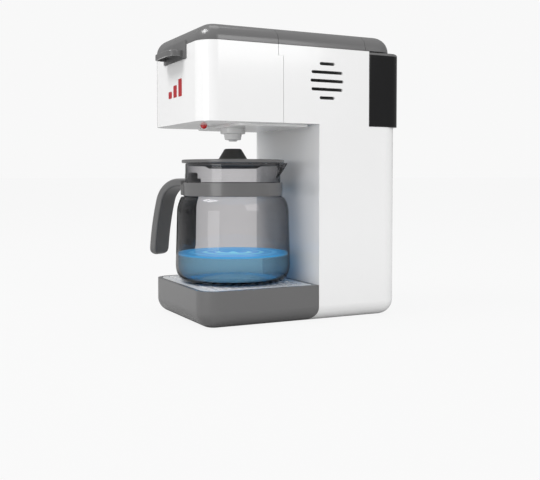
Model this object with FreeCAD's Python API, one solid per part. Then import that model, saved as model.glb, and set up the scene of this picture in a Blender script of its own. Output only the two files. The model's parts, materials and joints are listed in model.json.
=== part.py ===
import FreeCAD, Part
import math
import os

# Toy drip coffee maker with a lift-out jug. Sizes in millimetres, +Z up.
# X runs across the machine, the front faces -Y, and the origin is on the underside
# below the middle of the white body.

os.makedirs("parts", exist_ok=True)
V = FreeCAD.Vector

# White body and grey lid
body_width = 125.0
body_depth = 192.0
body_height = 250.0
corner_radius = 16.5
crown_radius = 13.9
sole_radius = 13.5
wall = 2.2
seam = 0.3
lid_height = 14.2
lid_setback = 6.3
head_height = 79.7
bay_depth = 108.0
base_height = 31.5
heel_radius = 11.0

# Seams of the head and the lid, as depths behind the front face
head_seam_depth = 73.3
head_step_depth = 68.5
head_step_drop = 23.8
flap_seam_depth = 154.4
tongue_length = 5.7
tongue_thick = 1.5
tongue_root = 5.0

# Lid hinges
barrel_radius = 2.5
pin_radius = 1.0
knuckle_half = 12.0
pin_half = 30.0
knuckle_gap = 0.3
pin_fit = 0.06
pin_grip = 0.02
lid_rib = 1.7

# Finger tab and apron of the front lid
apron_half = 27.7
apron_drop = 11.6
apron_proud = 1.0
tab_half = 21.0
tab_reach = 13.0
tab_thick = 5.0
tab_lift = 2.4
tab_corner = 8.0
tab_wall = 1.6
tab_recess = 2.6

# Start button
button_depth = 110.0
button_radius = 8.0
button_play = 0.15
button_travel = 1.5
button_flange = 1.6
button_flange_thick = 1.1
button_stem_radius = 2.0
button_dish_radius = 11.0
button_dish = 1.0
spring_wire = 0.45
spring_turns = 5
spring_radius = 5.0
board_thick = 1.6
board_standoff = 8.0
board_edge = (13.5, 16.5)
board_rise = 37.0
board_drop = 30.0
chip_half = 7.0
plug_height = 6.0
can_radius = 3.2
can_height = 8.0
switch_board_drop = 18.4

# Loudspeaker and its slots
speaker_depth = 115.6
speaker_drop = 42.7
speaker_radius = 18.0
speaker_deep = 14.0
speaker_flange = 1.6
magnet_radius = 11.0
slot_lengths = (15.0, 31.0, 33.0, 31.0, 15.0)
slot_pitch = 7.3
slot_width = 2.7

# Water tank
tank_depth = 158.5
tank_height = 65.7
tank_gap = 0.6
tank_proud_rear = 1.5
tank_proud_side = 0.5
tank_corner = 12.0
tank_wall = 2.0
tank_rim_height = 2.6
tank_rim_width = 5.0
tank_play = 0.15
spigot_radius = 4.05
spigot_fit = 0.05
spigot_length = 7.0
spigot_rise = 10.5

# Grey base and drip grid
grid_thick = 2.4
grid_rim = 4.0
grid_ledge = 3.0
basin_depth = 10.0
grid_rows = 12
grid_slot_width = 3.2
grid_margin = 5.0
grid_centre_slot = 46.0
grid_bridge = 4.0
grid_end = 4.2
grid_slot_corner = 1.2
grid_corner = 2.7

# Bottom cover, battery box and power switch
cover_inset = 14.5
cover_thick = 2.2
cover_ledge = 5.0
boss_radius = 4.5
boss_height = 12.0
column_boss_radius = 4.5
boss_wall_gap = 3.5
boss_drop = 16.0
boss_rise = 25.0
boss_head_setback = 11.7
boss_head_rise = 31.0
screw_radius = 1.5
screw_fit = 0.05
screw_head_radius = 3.0
screw_head_thick = 2.0
screw_seat_x = 14.0
screw_grip = 8.0
cell_radius = 7.15
cell_length = 50.0
cell_pitch = 15.3
cell_count = 3
battery_depth = 146.0
box_wall = 2.0
switch_depth = 50.0
switch_knob_length = 5.0
switch_knob_width = 3.8
switch_travel = 4.0

# Pump and tubes
pump_setback = 20.8
pump_motor_radius = 11.0
pump_motor_height = 30.0
pump_rotor_radius = 13.0
pump_rotor_height = 12.0
pump_port_length = 8.0
pump_port_pitch = 14.0
pump_edge = 1.5
tube_overlap = 6.0
barb_length = 3.5
socket_cup = 4.0
socket_flange = 2.5
socket_radius = 6.0
socket_flange_radius = 8.0

# Outlet, nozzle and lamp
outlet_depth = (38.0, 105.0)
outlet_half = 50.0
outlet_thick = 2.1
nozzle_drop = 13.6
nozzle_radius = 11.0
nozzle_flange = 2.0
nozzle_mouth_radius = 9.5
nozzle_tip_radius = 3.6
nozzle_tip = 1.3
nozzle_bore = 1.5
nozzle_core_radius = 7.0
pipe_radius = 2.6
tube_wall = 1.25
tube_fit = 0.05
tube_bend = 8.0
tube_rise = 8.2
lamp_depth = 26.5
lamp_radius = 3.1

# Filter deck and basket
deck_drop = 12.1
deck_thick = 2.2
basket_depth_y = 36.0
basket_radius = 26.5
basket_foot_radius = 20.0
basket_height = 34.0
basket_wall = 1.6
basket_rim = 3.5

# Jug
jug_radius = 51.5
jug_front_gap = 3.0
jug_wall = 2.0
jug_lift = 0.12
jug_foot_inset = 9.5
jug_foot_height = 15.0
jug_taper = 1.3
shoulder_drop = 15.3
neck_radius = 42.6
neck_height = 17.0
collar_height = 12.0
collar_thick = 1.8
knob_gap = 6.7
knob_height = 9.9
knob_top_radius = 7.2
knob_foot_radius = 12.9
drip_radius = 4.0
lid_disc_radius = 45.8
lid_disc_thick = 2.9
lid_play = 0.3
plug_drop = 4.9
plug_top_radius = 31.0
plug_foot_radius = 21.5
skirt_height = 2.6
skirt_thick = 1.5
skirt_play = 0.4
spout_angle = 33.2
spout_reach = 55.4
spout_half_angle = 17.0
spout_height = 14.6

# Jug handle
handle_angle = -146.8
handle_width = 22.0
handle_thick = 7.3
handle_arm = 11.4
handle_arm_drop = 13.5
handle_bend = 22.5
handle_lean = 15.0
handle_flare = 4.0
handle_grip_bend = 254.0
handle_edge = 2.0
upstand_width = 14.0
upstand_height = 9.0
upstand_thick = 6.5
plate_thick = 3.5
plate_length = 52.0
plate_top_drop = 2.0
handle_screw_drops = (15.5, 44.3)
handle_screw_radius = 1.3
handle_screw_head = 2.6

# Places worked out from the sizes above
half_width = body_width / 2
front = -body_depth / 2
rear = body_depth / 2
cap_z = body_height - lid_height
head_bottom = body_height - head_height
head_step_z = body_height - head_step_drop
tank_top = cap_z - tank_gap
tank_bottom = tank_top - tank_height
speaker_z = body_height - speaker_drop
tube_z = head_bottom + tube_rise
wall_y = front + bay_depth
base_rear = wall_y - seam / 2
heel_y = base_rear - heel_radius
floor_z = 2 * wall
head_seam = front + head_seam_depth
head_step = front + head_step_depth
flap_seam = front + flap_seam_depth
lid_rear = rear - lid_setback
tank_front = front + tank_depth
partition_y = tank_front - tank_play - wall
hinge_z = body_height - barrel_radius
front_hinge_y = head_step - seam / 2 - barrel_radius
flap_hinge_y = flap_seam + seam / 2 + barrel_radius
button_y = front + button_depth
speaker_y = front + speaker_depth
cover_half = half_width - cover_inset
battery_y = front + battery_depth
box_top = cover_thick + 2 * cell_radius + 1.0 + box_wall
cell_z = cover_thick + cell_radius + 0.4
jug_y = front + jug_front_gap + jug_radius
jug_z = base_height + jug_lift
nozzle_z = head_bottom - nozzle_drop
knob_z = nozzle_z - knob_gap
lid_top_z = knob_z - knob_height
lid_z = lid_top_z - lid_disc_thick
rim_z = lid_z - lid_play
collar_top_z = rim_z - neck_height
collar_z = collar_top_z - collar_height
deck_z = cap_z - deck_drop - deck_thick
deck_top = deck_z + deck_thick
basket_y = front + basket_depth_y
switch_y = front + switch_depth
spigot_z = tank_bottom + spigot_rise
pump_y = wall_y + wall + pump_setback
pump_in_y = pump_y + pump_port_pitch / 2
pump_out_y = pump_y - pump_port_pitch / 2
pump_port_z = box_top + pump_motor_height + pump_rotor_height + pump_port_length
tube_radius = pipe_radius + tube_fit + tube_wall
board_x = -half_width + wall + board_standoff
board_y = (wall_y + wall + board_edge[0], rear - wall - board_edge[1])
board_z = (base_height + board_rise, head_bottom - board_drop)


# Shared shapes

def box(x0, x1, y0, y1, z0, z1):
    return Part.makeBox(x1 - x0, y1 - y0, z1 - z0, V(x0, y0, z0))


def rod(radius, start, end):
    axis = end.sub(start)
    return Part.makeCylinder(radius, axis.Length, start, axis)


def upright(radius, x, y, z0, z1):
    return Part.makeCylinder(radius, z1 - z0, V(x, y, z0))


def plate(x0, x1, y0, y1, z0, z1, front_radius, rear_radius):
    """Flat block with rounded upright corners, one radius in front and one behind."""
    corners = (
        (x0, y0, front_radius, 180.0), (x1, y0, front_radius, 270.0),
        (x1, y1, rear_radius, 0.0), (x0, y1, rear_radius, 90.0),
    )
    edges = []
    ends = []
    for x, y, radius, start in corners:
        if radius <= 0.0:
            ends.append((V(x, y, z0), V(x, y, z0)))
            continue
        centre = V(x + math.copysign(radius, -x + (x0 + x1) / 2),
                   y + math.copysign(radius, -y + (y0 + y1) / 2), z0)
        circle = Part.Circle(centre, V(0, 0, 1), radius)
        arc = Part.Arc(circle, math.radians(start), math.radians(start + 90.0))
        edges.append(arc.toShape())
        ends.append((arc.StartPoint, arc.EndPoint))
    for index in range(4):
        leave = ends[index][1]
        arrive = ends[(index + 1) % 4][0]
        if leave.distanceToPoint(arrive) > 1e-6:
            edges.append(Part.makeLine(leave, arrive))
    wire = Part.Wire(Part.__sortEdges__(edges))
    return Part.Face(wire).extrude(V(0, 0, z1 - z0))


def level_edges(shape, z):
    found = []
    for edge in shape.Edges:
        span = edge.BoundBox
        if abs(span.ZMin - z) < 0.01 and abs(span.ZMax - z) < 0.01:
            found.append(edge)
    return found


def turned(points, x, y):
    """Solid of revolution about an upright axis; points are (radius, height)."""
    corners = [V(radius, 0, height) for radius, height in points]
    wire = Part.makePolygon(corners + [corners[0]])
    solid = Part.Face(wire).revolve(V(0, 0, 0), V(0, 0, 1), 360)
    solid.translate(V(x, y, 0))
    return solid


def radial(shape, angle):
    """Move a shape drawn along +X at the jug's own axis to its place round the jug."""
    shape.rotate(V(0, 0, 0), V(0, 0, 1), angle)
    shape.translate(V(0, jug_y, 0))
    return shape


def swept_tube(points, bend, radius, bore):
    """Tube along straight runs joined by quarter bends."""
    edges = []
    here = points[0]
    for index in range(1, len(points) - 1):
        corner = points[index]
        back = here.sub(corner)
        back.normalize()
        ahead = points[index + 1].sub(corner)
        ahead.normalize()
        start = corner.add(back * bend)
        end = corner.add(ahead * bend)
        middle = corner.add((back + ahead) * (bend * (1 - math.sqrt(0.5))))
        edges.append(Part.makeLine(here, start))
        edges.append(Part.Arc(start, middle, end).toShape())
        here = end
    edges.append(Part.makeLine(here, points[-1]))
    path = Part.Wire(edges)
    heading = points[1].sub(points[0])
    section = Part.Wire(Part.Circle(points[0], heading, radius).toShape())
    hollow = Part.Wire(Part.Circle(points[0], heading, bore).toShape())
    return path.makePipeShell([section], True, True).cut(path.makePipeShell([hollow], True, True))


def save(name, shape):
    if len(shape.Solids) == 1:
        shape = shape.Solids[0]
    shape.exportStep("parts/" + name + ".step")


# Outer forms that the body and lid mouldings are cut from

def body_form(inset, bottom):
    """The white body's rounded block, drawn in by a wall."""
    form = plate(-half_width + inset, half_width - inset, front + inset, rear - inset,
                 bottom, body_height, corner_radius - inset, corner_radius - inset)
    return form.makeFillet(sole_radius - inset, level_edges(form, bottom))


def lid_form(inset, bottom):
    """The grey lid's crowned block, drawn in by a wall."""
    top = body_height - inset
    form = plate(-half_width + inset, half_width - inset, front + inset, lid_rear - inset,
                 bottom, top, corner_radius - inset, corner_radius - inset)
    return form.makeFillet(crown_radius - inset, level_edges(form, top))


def cover_opening():
    """Space for the bottom cover and the hole that it closes."""
    recess = plate(-cover_half - seam, cover_half + seam, front + cover_inset - seam,
                   rear - cover_inset + seam, -1.0, cover_thick, 4.0, 4.0)
    hole = plate(-cover_half + cover_ledge, cover_half - cover_ledge,
                 front + cover_inset + cover_ledge, rear - cover_inset - cover_ledge,
                 -1.0, floor_z + 1.0, 3.0, 3.0)
    return recess.fuse(hole)


def cover_boss_places():
    x = cover_half - cover_ledge
    return [(side * x, y) for side in (-1, 1)
            for y in (front + cover_inset + 10.0, rear - cover_inset - 10.0)]


def cover_boss(x, y):
    return upright(boss_radius, x, y, cover_thick, cover_thick + boss_height)


def cover_boss_bore(x, y):
    return upright(screw_radius + screw_fit, x, y, cover_thick - 1.0, cover_thick + boss_height - 2.0)


def housing_screw_places():
    """Depth and height of the screws that join the two halves of the column."""
    near = wall_y + wall + column_boss_radius + seam
    far = rear - wall - column_boss_radius - boss_wall_gap
    high = head_bottom - boss_drop
    return ((near, pump_port_z + boss_drop / 2), (near, high), (far, base_height + boss_rise),
            (far, high), (head_seam + boss_head_setback, head_bottom + boss_head_rise))


# White column

def column():
    """Both halves of the column in one, before the centre seam is cut."""
    shape = box(-half_width, half_width, wall_y, rear, 0, head_bottom)
    upper = box(-half_width, half_width, head_seam + seam / 2, rear, head_bottom, head_step_z)
    ear = box(-half_width, half_width, head_step + seam / 2, rear, head_step_z, cap_z - seam)
    toe = box(-half_width, half_width, heel_y, wall_y, 0, heel_radius)
    heel = rod(heel_radius + seam / 2, V(-half_width - 1, heel_y, heel_radius),
               V(half_width + 1, heel_y, heel_radius))
    shape = shape.fuse([upper, ear, toe.cut(heel)]).common(body_form(0, 0))
    pocket = box(-half_width - 1, half_width + 1, tank_front - tank_play, rear + 1,
                 tank_bottom - tank_play, body_height)
    inside = partition_y
    ledge = tank_bottom - tank_play - wall
    low = box(-half_width, half_width, wall_y + wall, rear, floor_z, ledge)
    mid = box(-half_width, half_width, wall_y + wall, inside, floor_z, body_height)
    top = box(-half_width, half_width, front, inside, head_bottom + wall, body_height)
    cavity = low.fuse([mid, top]).common(body_form(wall, floor_z))
    return shape.cut([pocket, cavity, cover_opening()])


def socket_hole():
    return rod(socket_radius + spigot_fit, V(0, partition_y - 1, spigot_z), V(0, tank_front + 1, spigot_z))


def screw_bosses(side):
    """Deep bosses from one side wall to the centre seam."""
    skin = body_form(wall / 2, 0)
    return [rod(column_boss_radius, V(side * half_width, y, z), V(0, y, z)).common(skin)
            for y, z in housing_screw_places()]


def body_left_shell():
    shape = column().common(box(-half_width - 1, 0, front - 1, rear + 1, -1, body_height))
    places = [(x, y) for x, y in cover_boss_places() if x < 0 and y > 0]
    posts = screw_bosses(-1) + [cover_boss(x, y) for x, y in places]
    posts += [rod(2.5, V(-half_width + 0.5, y, z), V(board_x, y, z)) for y, z in board_corners()]
    shape = shape.fuse(posts)
    holes = [socket_hole()] + [cover_boss_bore(x, y) for x, y in places]
    for y, z in housing_screw_places():
        holes.append(rod(screw_head_radius + 0.4, V(-half_width - 1, y, z), V(-screw_seat_x, y, z)))
        holes.append(rod(screw_radius + 0.2, V(-screw_seat_x - 1, y, z), V(1, y, z)))
    return shape.cut(holes)


def speaker_slot(length, z):
    reach = length / 2 - slot_width / 2
    x0 = half_width - wall - 2.0
    x1 = half_width + 1.0
    slot = box(x0, x1, speaker_y - reach, speaker_y + reach, z - slot_width / 2, z + slot_width / 2)
    ends = [rod(slot_width / 2, V(x0, speaker_y + side * reach, z), V(x1, speaker_y + side * reach, z))
            for side in (-1, 1)]
    return slot.fuse(ends)


def body_right_shell():
    shape = column().common(box(0, half_width + 1, front - 1, rear + 1, -1, body_height))
    places = [(x, y) for x, y in cover_boss_places() if x > 0 and y > 0]
    shape = shape.fuse(screw_bosses(1) + [cover_boss(x, y) for x, y in places])
    seat_x = half_width - wall - 5.0
    seat = rod(speaker_radius + 2.2, V(seat_x, speaker_y, speaker_z),
               V(half_width - 0.5, speaker_y, speaker_z))
    seat = seat.cut(rod(speaker_radius + 0.2, V(seat_x - 1, speaker_y, speaker_z),
                        V(half_width - wall, speaker_y, speaker_z)))
    shape = shape.fuse(seat)
    holes = [socket_hole()] + [cover_boss_bore(x, y) for x, y in places]
    middle = (len(slot_lengths) - 1) / 2
    for index, length in enumerate(slot_lengths):
        holes.append(speaker_slot(length, speaker_z + (index - middle) * slot_pitch))
    for y, z in housing_screw_places():
        holes.append(rod(screw_radius + screw_fit, V(-1, y, z), V(screw_grip + 2.0, y, z)))
    return shape.cut(holes)


# Front module of the head

def brew_head_front():
    rim = cap_z - seam
    shape = box(-half_width, half_width, front, head_seam - seam / 2, head_bottom, head_step_z)
    upper = box(-half_width, half_width, front, head_step - seam / 2, head_step_z, rim)
    shape = shape.fuse(upper).common(body_form(0, 0))
    inner = body_form(wall, 0)
    open_end = max(head_seam, head_step) + 1
    cavity = box(-half_width, half_width, front, open_end, head_bottom + wall, body_height)
    shape = shape.cut(cavity.common(inner))
    tongue_y = head_seam + tongue_length
    side = half_width - wall
    tongue = box(-side, side, head_seam - tongue_root, tongue_y, head_bottom + wall, head_step_z - 6.0)
    hollow = box(-side + tongue_thick, side - tongue_thick, head_seam - tongue_root - 1, tongue_y + 1,
                 head_bottom + wall + tongue_thick, body_height)
    notch = box(-apron_half - seam, apron_half + seam, front - 1, front + wall + 1,
                cap_z - apron_drop - seam, body_height)
    holes = [notch, nozzle_hole(), lamp_hole()]
    return shape.fuse(tongue.cut([hollow, nozzle_seat()])).cut(holes)


def nozzle_seat():
    """Room on the head's floor for the nozzle's flange."""
    floor = head_bottom + wall
    return upright(nozzle_radius + nozzle_flange + 0.3, 0, jug_y, floor, floor + 2.0)


def nozzle_hole():
    return upright(nozzle_radius + 0.15, 0, jug_y, head_bottom - 5, head_bottom + wall + 4)


def lamp_hole():
    return upright(lamp_radius + 0.1, 0, front + lamp_depth, head_bottom - 1, head_bottom + wall + 4)


# Grey lid

def lid_stretch(y0, y1):
    band = box(-half_width - 1, half_width + 1, y0, y1, cap_z - 1, body_height + 1)
    hollow = lid_form(wall, cap_z - 1)
    return lid_form(0, cap_z).cut(hollow).common(band)


def hinge_bore(y, radius, half):
    return rod(radius, V(-half, y, hinge_z), V(half, y, hinge_z))


def swinging_lid(y0, y1, hinge_y, outward):
    """One moving stretch of the lid; outward is +1 where the hinge is at its rear edge."""
    shell = lid_stretch(y0, y1)
    edge = hinge_y + outward * barrel_radius
    rib = sorted((edge, edge - outward * lid_rib))
    side = half_width - wall / 2
    web = box(-side, side, rib[0], rib[1], cap_z, hinge_z)
    barrel = hinge_bore(hinge_y, barrel_radius, half_width)
    shape = shell.fuse([web, barrel]).common(lid_form(0, cap_z))
    nose = sorted((hinge_y, edge + outward))
    nose = box(-half_width - 1, half_width + 1, nose[0], nose[1], hinge_z, body_height + 1)
    shape = shape.cut(nose.cut(barrel))
    reach = knuckle_half + knuckle_gap
    room = math.hypot(barrel_radius, barrel_radius + seam) + 0.5
    gap = hinge_bore(hinge_y, room, reach)
    behind = sorted((hinge_y, edge + outward))
    gap = gap.fuse(box(-reach, reach, behind[0], behind[1], hinge_z - room, body_height + 1))
    return shape.cut([gap, hinge_bore(hinge_y, pin_radius + pin_fit, pin_half + 1.0)])


def front_lid():
    shape = swinging_lid(front - 1, head_step - seam / 2, front_hinge_y, 1)
    apron_z = cap_z - apron_drop
    apron = plate(-apron_half, apron_half, front - apron_proud, front + wall, apron_z, cap_z + 3.0, 0.8, 0)
    tab_z = apron_z + tab_lift
    tab = plate(-tab_half, tab_half, front - tab_reach, front, tab_z, tab_z + tab_thick, tab_corner, 0)
    tab = tab.makeFillet(1.0, level_edges(tab, tab_z + tab_thick))
    recess = plate(-tab_half + tab_wall, tab_half - tab_wall, front - tab_reach + tab_wall,
                   front - apron_proud - 0.5, tab_z - 1, tab_z + tab_recess, tab_corner - tab_wall, 0)
    return shape.fuse([apron, tab]).cut(recess)


def rear_flap():
    return swinging_lid(flap_seam + seam / 2, lid_rear + 1, flap_hinge_y, -1)


def lid_knuckle(hinge_y, cover_y):
    ends = sorted((hinge_y, cover_y))
    arm = box(-knuckle_half, knuckle_half, ends[0], ends[1], hinge_z - barrel_radius, body_height)
    arm = arm.fuse(hinge_bore(hinge_y, barrel_radius, knuckle_half))
    return arm.cut(hinge_bore(hinge_y, pin_radius + pin_grip, knuckle_half + 1))


def top_cover():
    y0 = head_step + seam / 2
    y1 = flap_seam - seam / 2
    shape = lid_stretch(y0, y1)
    side = half_width - wall / 2
    ends = [box(-side, side, y0, y0 + lid_rib, cap_z, hinge_z),
            box(-side, side, y1 - lid_rib, y1, cap_z, hinge_z)]
    shape = shape.fuse([end.common(lid_form(0, cap_z)) for end in ends])
    inner = half_width - wall
    lips = [box(x, x + tongue_thick, head_seam + 9.0, partition_y - 4.0, cap_z - 6.0, cap_z + 3.0)
            for x in (-inner, inner - tongue_thick)]
    posts = [upright(2.5, x, button_y, body_height - switch_board_drop, body_height - wall)
             for x in (-13.0, 13.0)]
    shape = shape.fuse(lips + posts)
    shape = shape.fuse([lid_knuckle(front_hinge_y, y0 + lid_rib), lid_knuckle(flap_hinge_y, y1 - lid_rib)])
    dish = upright(button_dish_radius, 0, button_y, body_height - button_dish, body_height + 1)
    hole = upright(button_radius + button_play, 0, button_y, body_height - 5, body_height + 1)
    return shape.cut([dish, hole])


def hinge_pin(y):
    return hinge_bore(y, pin_radius, pin_half)


# Start button, its spring and the small board below it

def start_button():
    skin_z = body_height - wall
    flange_top = skin_z - 0.1
    flange_z = flange_top - button_flange_thick
    cap = upright(button_radius, 0, button_y, flange_z, body_height)
    cap = cap.makeFillet(0.8, level_edges(cap, body_height))
    flange = upright(button_radius + button_flange, 0, button_y, flange_z, flange_top)
    stem = upright(button_stem_radius, 0, button_y, switch_top_z() + button_travel + 0.1, flange_z)
    return cap.fuse([flange, stem])


def switch_top_z():
    return body_height - switch_board_drop + 4.4


def button_spring():
    skin_z = body_height - wall
    low = body_height - switch_board_drop + spring_wire
    high = skin_z - 0.1 - button_flange_thick - spring_wire
    rise = high - low - 0.2
    helix = Part.makeHelix(rise / spring_turns, rise, spring_radius)
    corners = [V(spring_radius + spring_wire * math.cos(turn * math.pi / 3), 0,
                 spring_wire * math.sin(turn * math.pi / 3)) for turn in range(6)]
    ring = Part.makePolygon(corners + [corners[0]])
    coil = helix.makePipeShell([ring], True, True)
    coil.translate(V(0, button_y, low + 0.1))
    return coil


def switch_board():
    top = body_height - switch_board_drop
    board = box(-16.0, 16.0, button_y - 9.0, button_y + 9.0, top - board_thick, top)
    key = box(-3.0, 3.0, button_y - 3.0, button_y + 3.0, top, top + 3.4)
    return board.fuse([key, upright(1.7, 0, button_y, top, switch_top_z())])


# Loudspeaker and main board

def speaker():
    seat = half_width - wall - 0.1
    back = -speaker_deep
    points = ((0, back), (magnet_radius, back), (magnet_radius, back + 5.0),
              (magnet_radius + 3.5, back + 8.0), (speaker_radius, -speaker_flange),
              (speaker_radius, 0), (speaker_radius - 2, 0),
              (speaker_radius - 6, -3.5), (5, -5), (4.5, -3.8), (0, -3.2))
    corners = [V(seat + along, radius, 0) for radius, along in points]
    wire = Part.makePolygon(corners + [corners[0]])
    solid = Part.Face(wire).revolve(V(0, 0, 0), V(1, 0, 0), 360)
    solid.translate(V(0, speaker_y, speaker_z))
    return solid


def board_corners():
    return [(y, z) for y in (board_y[0] + 4, board_y[1] - 4) for z in (board_z[0] + 4, board_z[1] - 4)]


def circuit_board():
    face = board_x + board_thick
    board = box(board_x, face, board_y[0], board_y[1], board_z[0], board_z[1])
    mid_y = (board_y[0] + board_y[1]) / 2
    mid_z = (board_z[0] + board_z[1]) / 2
    chip = box(face, face + 2.0, mid_y - chip_half, mid_y + chip_half, mid_z - chip_half, mid_z + chip_half)
    plug = box(face, face + plug_height, mid_y - plug_height, mid_y + plug_height,
               board_z[0] + 3.0, board_z[0] + 3.0 + plug_height)
    can_z = mid_z + 20.0
    cans = [rod(can_radius, V(face, y, can_z), V(face + can_height, y, can_z))
            for y in (mid_y - can_height, mid_y + can_height)]
    return board.fuse([chip, plug] + cans)


# Tank and its socket

def water_tank():
    x = half_width + tank_proud_side
    y1 = rear + tank_proud_rear
    top = tank_top - tank_rim_height
    shape = plate(-x, x, tank_front, y1, tank_bottom, top, 1.0, tank_corner)
    hollow = plate(-x + tank_wall, x - tank_wall, tank_front + tank_wall, y1 - tank_wall,
                   tank_bottom + tank_wall, top + 1, 0.5, tank_corner - tank_wall)
    spigot = rod(spigot_radius, V(0, tank_front - spigot_length, spigot_z), V(0, tank_front + 1, spigot_z))
    bore = rod(spigot_radius - 1.6, V(0, tank_front - spigot_length - 1, spigot_z),
               V(0, tank_front + tank_wall + 1, spigot_z))
    return shape.cut(hollow).fuse(spigot).cut(bore)


def tank_rim():
    x = half_width + tank_proud_side
    y1 = rear + tank_proud_rear
    z = tank_top - tank_rim_height
    ring = plate(-x, x, tank_front, y1, z, tank_top, 1.0, tank_corner)
    outer = [edge for edge in level_edges(ring, tank_top) if edge.BoundBox.YMax > y1 - 1.0]
    ring = ring.makeFillet(tank_rim_height * 0.8, outer)
    hole = plate(-x + tank_rim_width, x - tank_rim_width, tank_front + tank_rim_width,
                 y1 - tank_rim_width, z - 1, tank_top + 1, 2.0, tank_corner - tank_rim_width)
    return ring.cut(hole)


def tank_socket():
    hole = spigot_radius + spigot_fit
    seat = partition_y - socket_flange
    foot = seat - socket_cup
    tip = foot - barb_length
    sleeve = rod(socket_radius, V(0, foot, spigot_z), V(0, tank_front - tank_play, spigot_z))
    flange = rod(socket_flange_radius, V(0, seat, spigot_z), V(0, partition_y, spigot_z))
    barb = rod(pipe_radius, V(0, tip, spigot_z), V(0, foot, spigot_z))
    bore = rod(hole, V(0, tank_front - spigot_length - 0.8, spigot_z), V(0, tank_front + 1, spigot_z))
    drain = rod(nozzle_bore, V(0, tip - 1, spigot_z), V(0, tank_front, spigot_z))
    return sleeve.fuse([flange, barb]).cut([bore, drain])


# Pump and its two tubes

def water_pump():
    lid = pump_port_z - pump_port_length
    step = lid - pump_rotor_height
    motor = upright(pump_motor_radius, 0, pump_y, box_top, step)
    rotor = upright(pump_rotor_radius, 0, pump_y, step, lid)
    rotor = rotor.makeFillet(pump_edge, level_edges(rotor, lid))
    places = (pump_in_y, pump_out_y)
    ports = [upright(pipe_radius, 0, y, lid - pump_edge, pump_port_z) for y in places]
    bores = [upright(nozzle_bore, 0, y, lid - pump_rotor_height / 2, pump_port_z + 1) for y in places]
    return motor.fuse([rotor] + ports).cut(bores)


def inlet_tube():
    foot = partition_y - socket_flange - socket_cup - 0.5
    points = (V(0, foot, spigot_z), V(0, pump_in_y, spigot_z), V(0, pump_in_y, pump_port_z - tube_overlap))
    return swept_tube(points, tube_bend, tube_radius, pipe_radius + tube_fit)


def outlet_tube():
    points = (V(0, pump_out_y, pump_port_z - tube_overlap), V(0, pump_out_y, tube_z),
              V(0, jug_y + nozzle_core_radius + 2.0, tube_z))
    return swept_tube(points, tube_bend, tube_radius, pipe_radius + tube_fit)


# Under the head

def outlet_plate():
    shape = plate(-outlet_half, outlet_half, front + outlet_depth[0], front + outlet_depth[1],
                  head_bottom - outlet_thick, head_bottom, 10.0, 4.0)
    return shape.cut(nozzle_hole())


def nozzle():
    inside = head_bottom + wall
    shoulder = nozzle_z + nozzle_tip
    points = ((0, nozzle_z), (nozzle_tip_radius, nozzle_z), (nozzle_tip_radius + 0.4, shoulder),
              (nozzle_mouth_radius, shoulder), (nozzle_radius, head_bottom - outlet_thick - 2.4),
              (nozzle_radius, inside), (nozzle_radius + nozzle_flange, inside),
              (nozzle_radius + nozzle_flange, inside + 1.5),
              (nozzle_core_radius, inside + 1.5), (nozzle_core_radius, tube_z + 6.0), (0, tube_z + 6.0))
    shape = turned(points, 0, jug_y)
    tip = jug_y + nozzle_core_radius + 8.0
    pipe = rod(pipe_radius, V(0, jug_y + nozzle_core_radius - 2, tube_z), V(0, tip, tube_z))
    down = upright(nozzle_bore, 0, jug_y, nozzle_z - 1, tube_z + 2.0)
    along = rod(nozzle_bore - 0.3, V(0, jug_y, tube_z), V(0, tip + 1, tube_z))
    return shape.fuse(pipe).cut(down).cut(along)


def led_lens():
    y = front + lamp_depth
    inside = head_bottom + wall
    dome = Part.makeSphere(lamp_radius, V(0, y, head_bottom))
    dome = dome.common(box(-5, 5, y - 5, y + 5, head_bottom - 5, head_bottom + 0.01))
    stem = upright(lamp_radius, 0, y, head_bottom, inside)
    flange = upright(lamp_radius + 1.3, 0, y, inside, inside + 1.0)
    return dome.fuse([stem, flange])


def led_lamp():
    y = front + lamp_depth
    z = head_bottom + wall + 1.0
    return upright(2.9, 0, y, z, z + 1.0).fuse(upright(2.4, 0, y, z, z + 6.0))


# Filter inside the head

def filter_deck():
    inset = wall + seam
    shape = plate(-half_width + inset, half_width - inset, front + inset, head_step - 4.5,
                  deck_z, deck_top, corner_radius - inset, 2.0)
    floor = head_bottom + wall
    posts = [upright(3.0, side * (half_width - 12.5), y, floor, deck_z)
             for side in (-1, 1) for y in (front + 18.0, head_seam - 15.3)]
    hole = upright(basket_radius + seam, 0, basket_y, deck_z - 1, deck_top + 1)
    return shape.fuse(posts).cut(hole)


def filter_basket():
    foot = deck_top - basket_height
    rim = basket_radius + basket_rim
    slope = (basket_radius - basket_foot_radius) / basket_height
    inner_top = basket_radius - basket_wall
    inner_foot = basket_foot_radius - basket_wall + slope * basket_wall
    points = ((6.0, foot), (basket_foot_radius, foot), (basket_radius, deck_top), (rim, deck_top),
              (rim, deck_top + 1.6), (inner_top, deck_top + 1.6), (inner_foot, foot + basket_wall),
              (6.0, foot + basket_wall))
    return turned(points, 0, basket_y)


def filter_mesh():
    z = deck_top - basket_height + basket_wall
    disc = upright(basket_foot_radius - basket_wall - 0.6, 0, basket_y, z, z + 0.8)
    holes = []
    for ring in range(1, 4):
        for step in range(6 * ring):
            angle = 2 * math.pi * step / (6 * ring)
            x = 4.6 * ring * math.cos(angle)
            y = basket_y + 4.6 * ring * math.sin(angle)
            holes.append(upright(1.2, x, y, z - 1, z + 2))
    return disc.cut(holes)


# Base, grid and bottom cover

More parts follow.
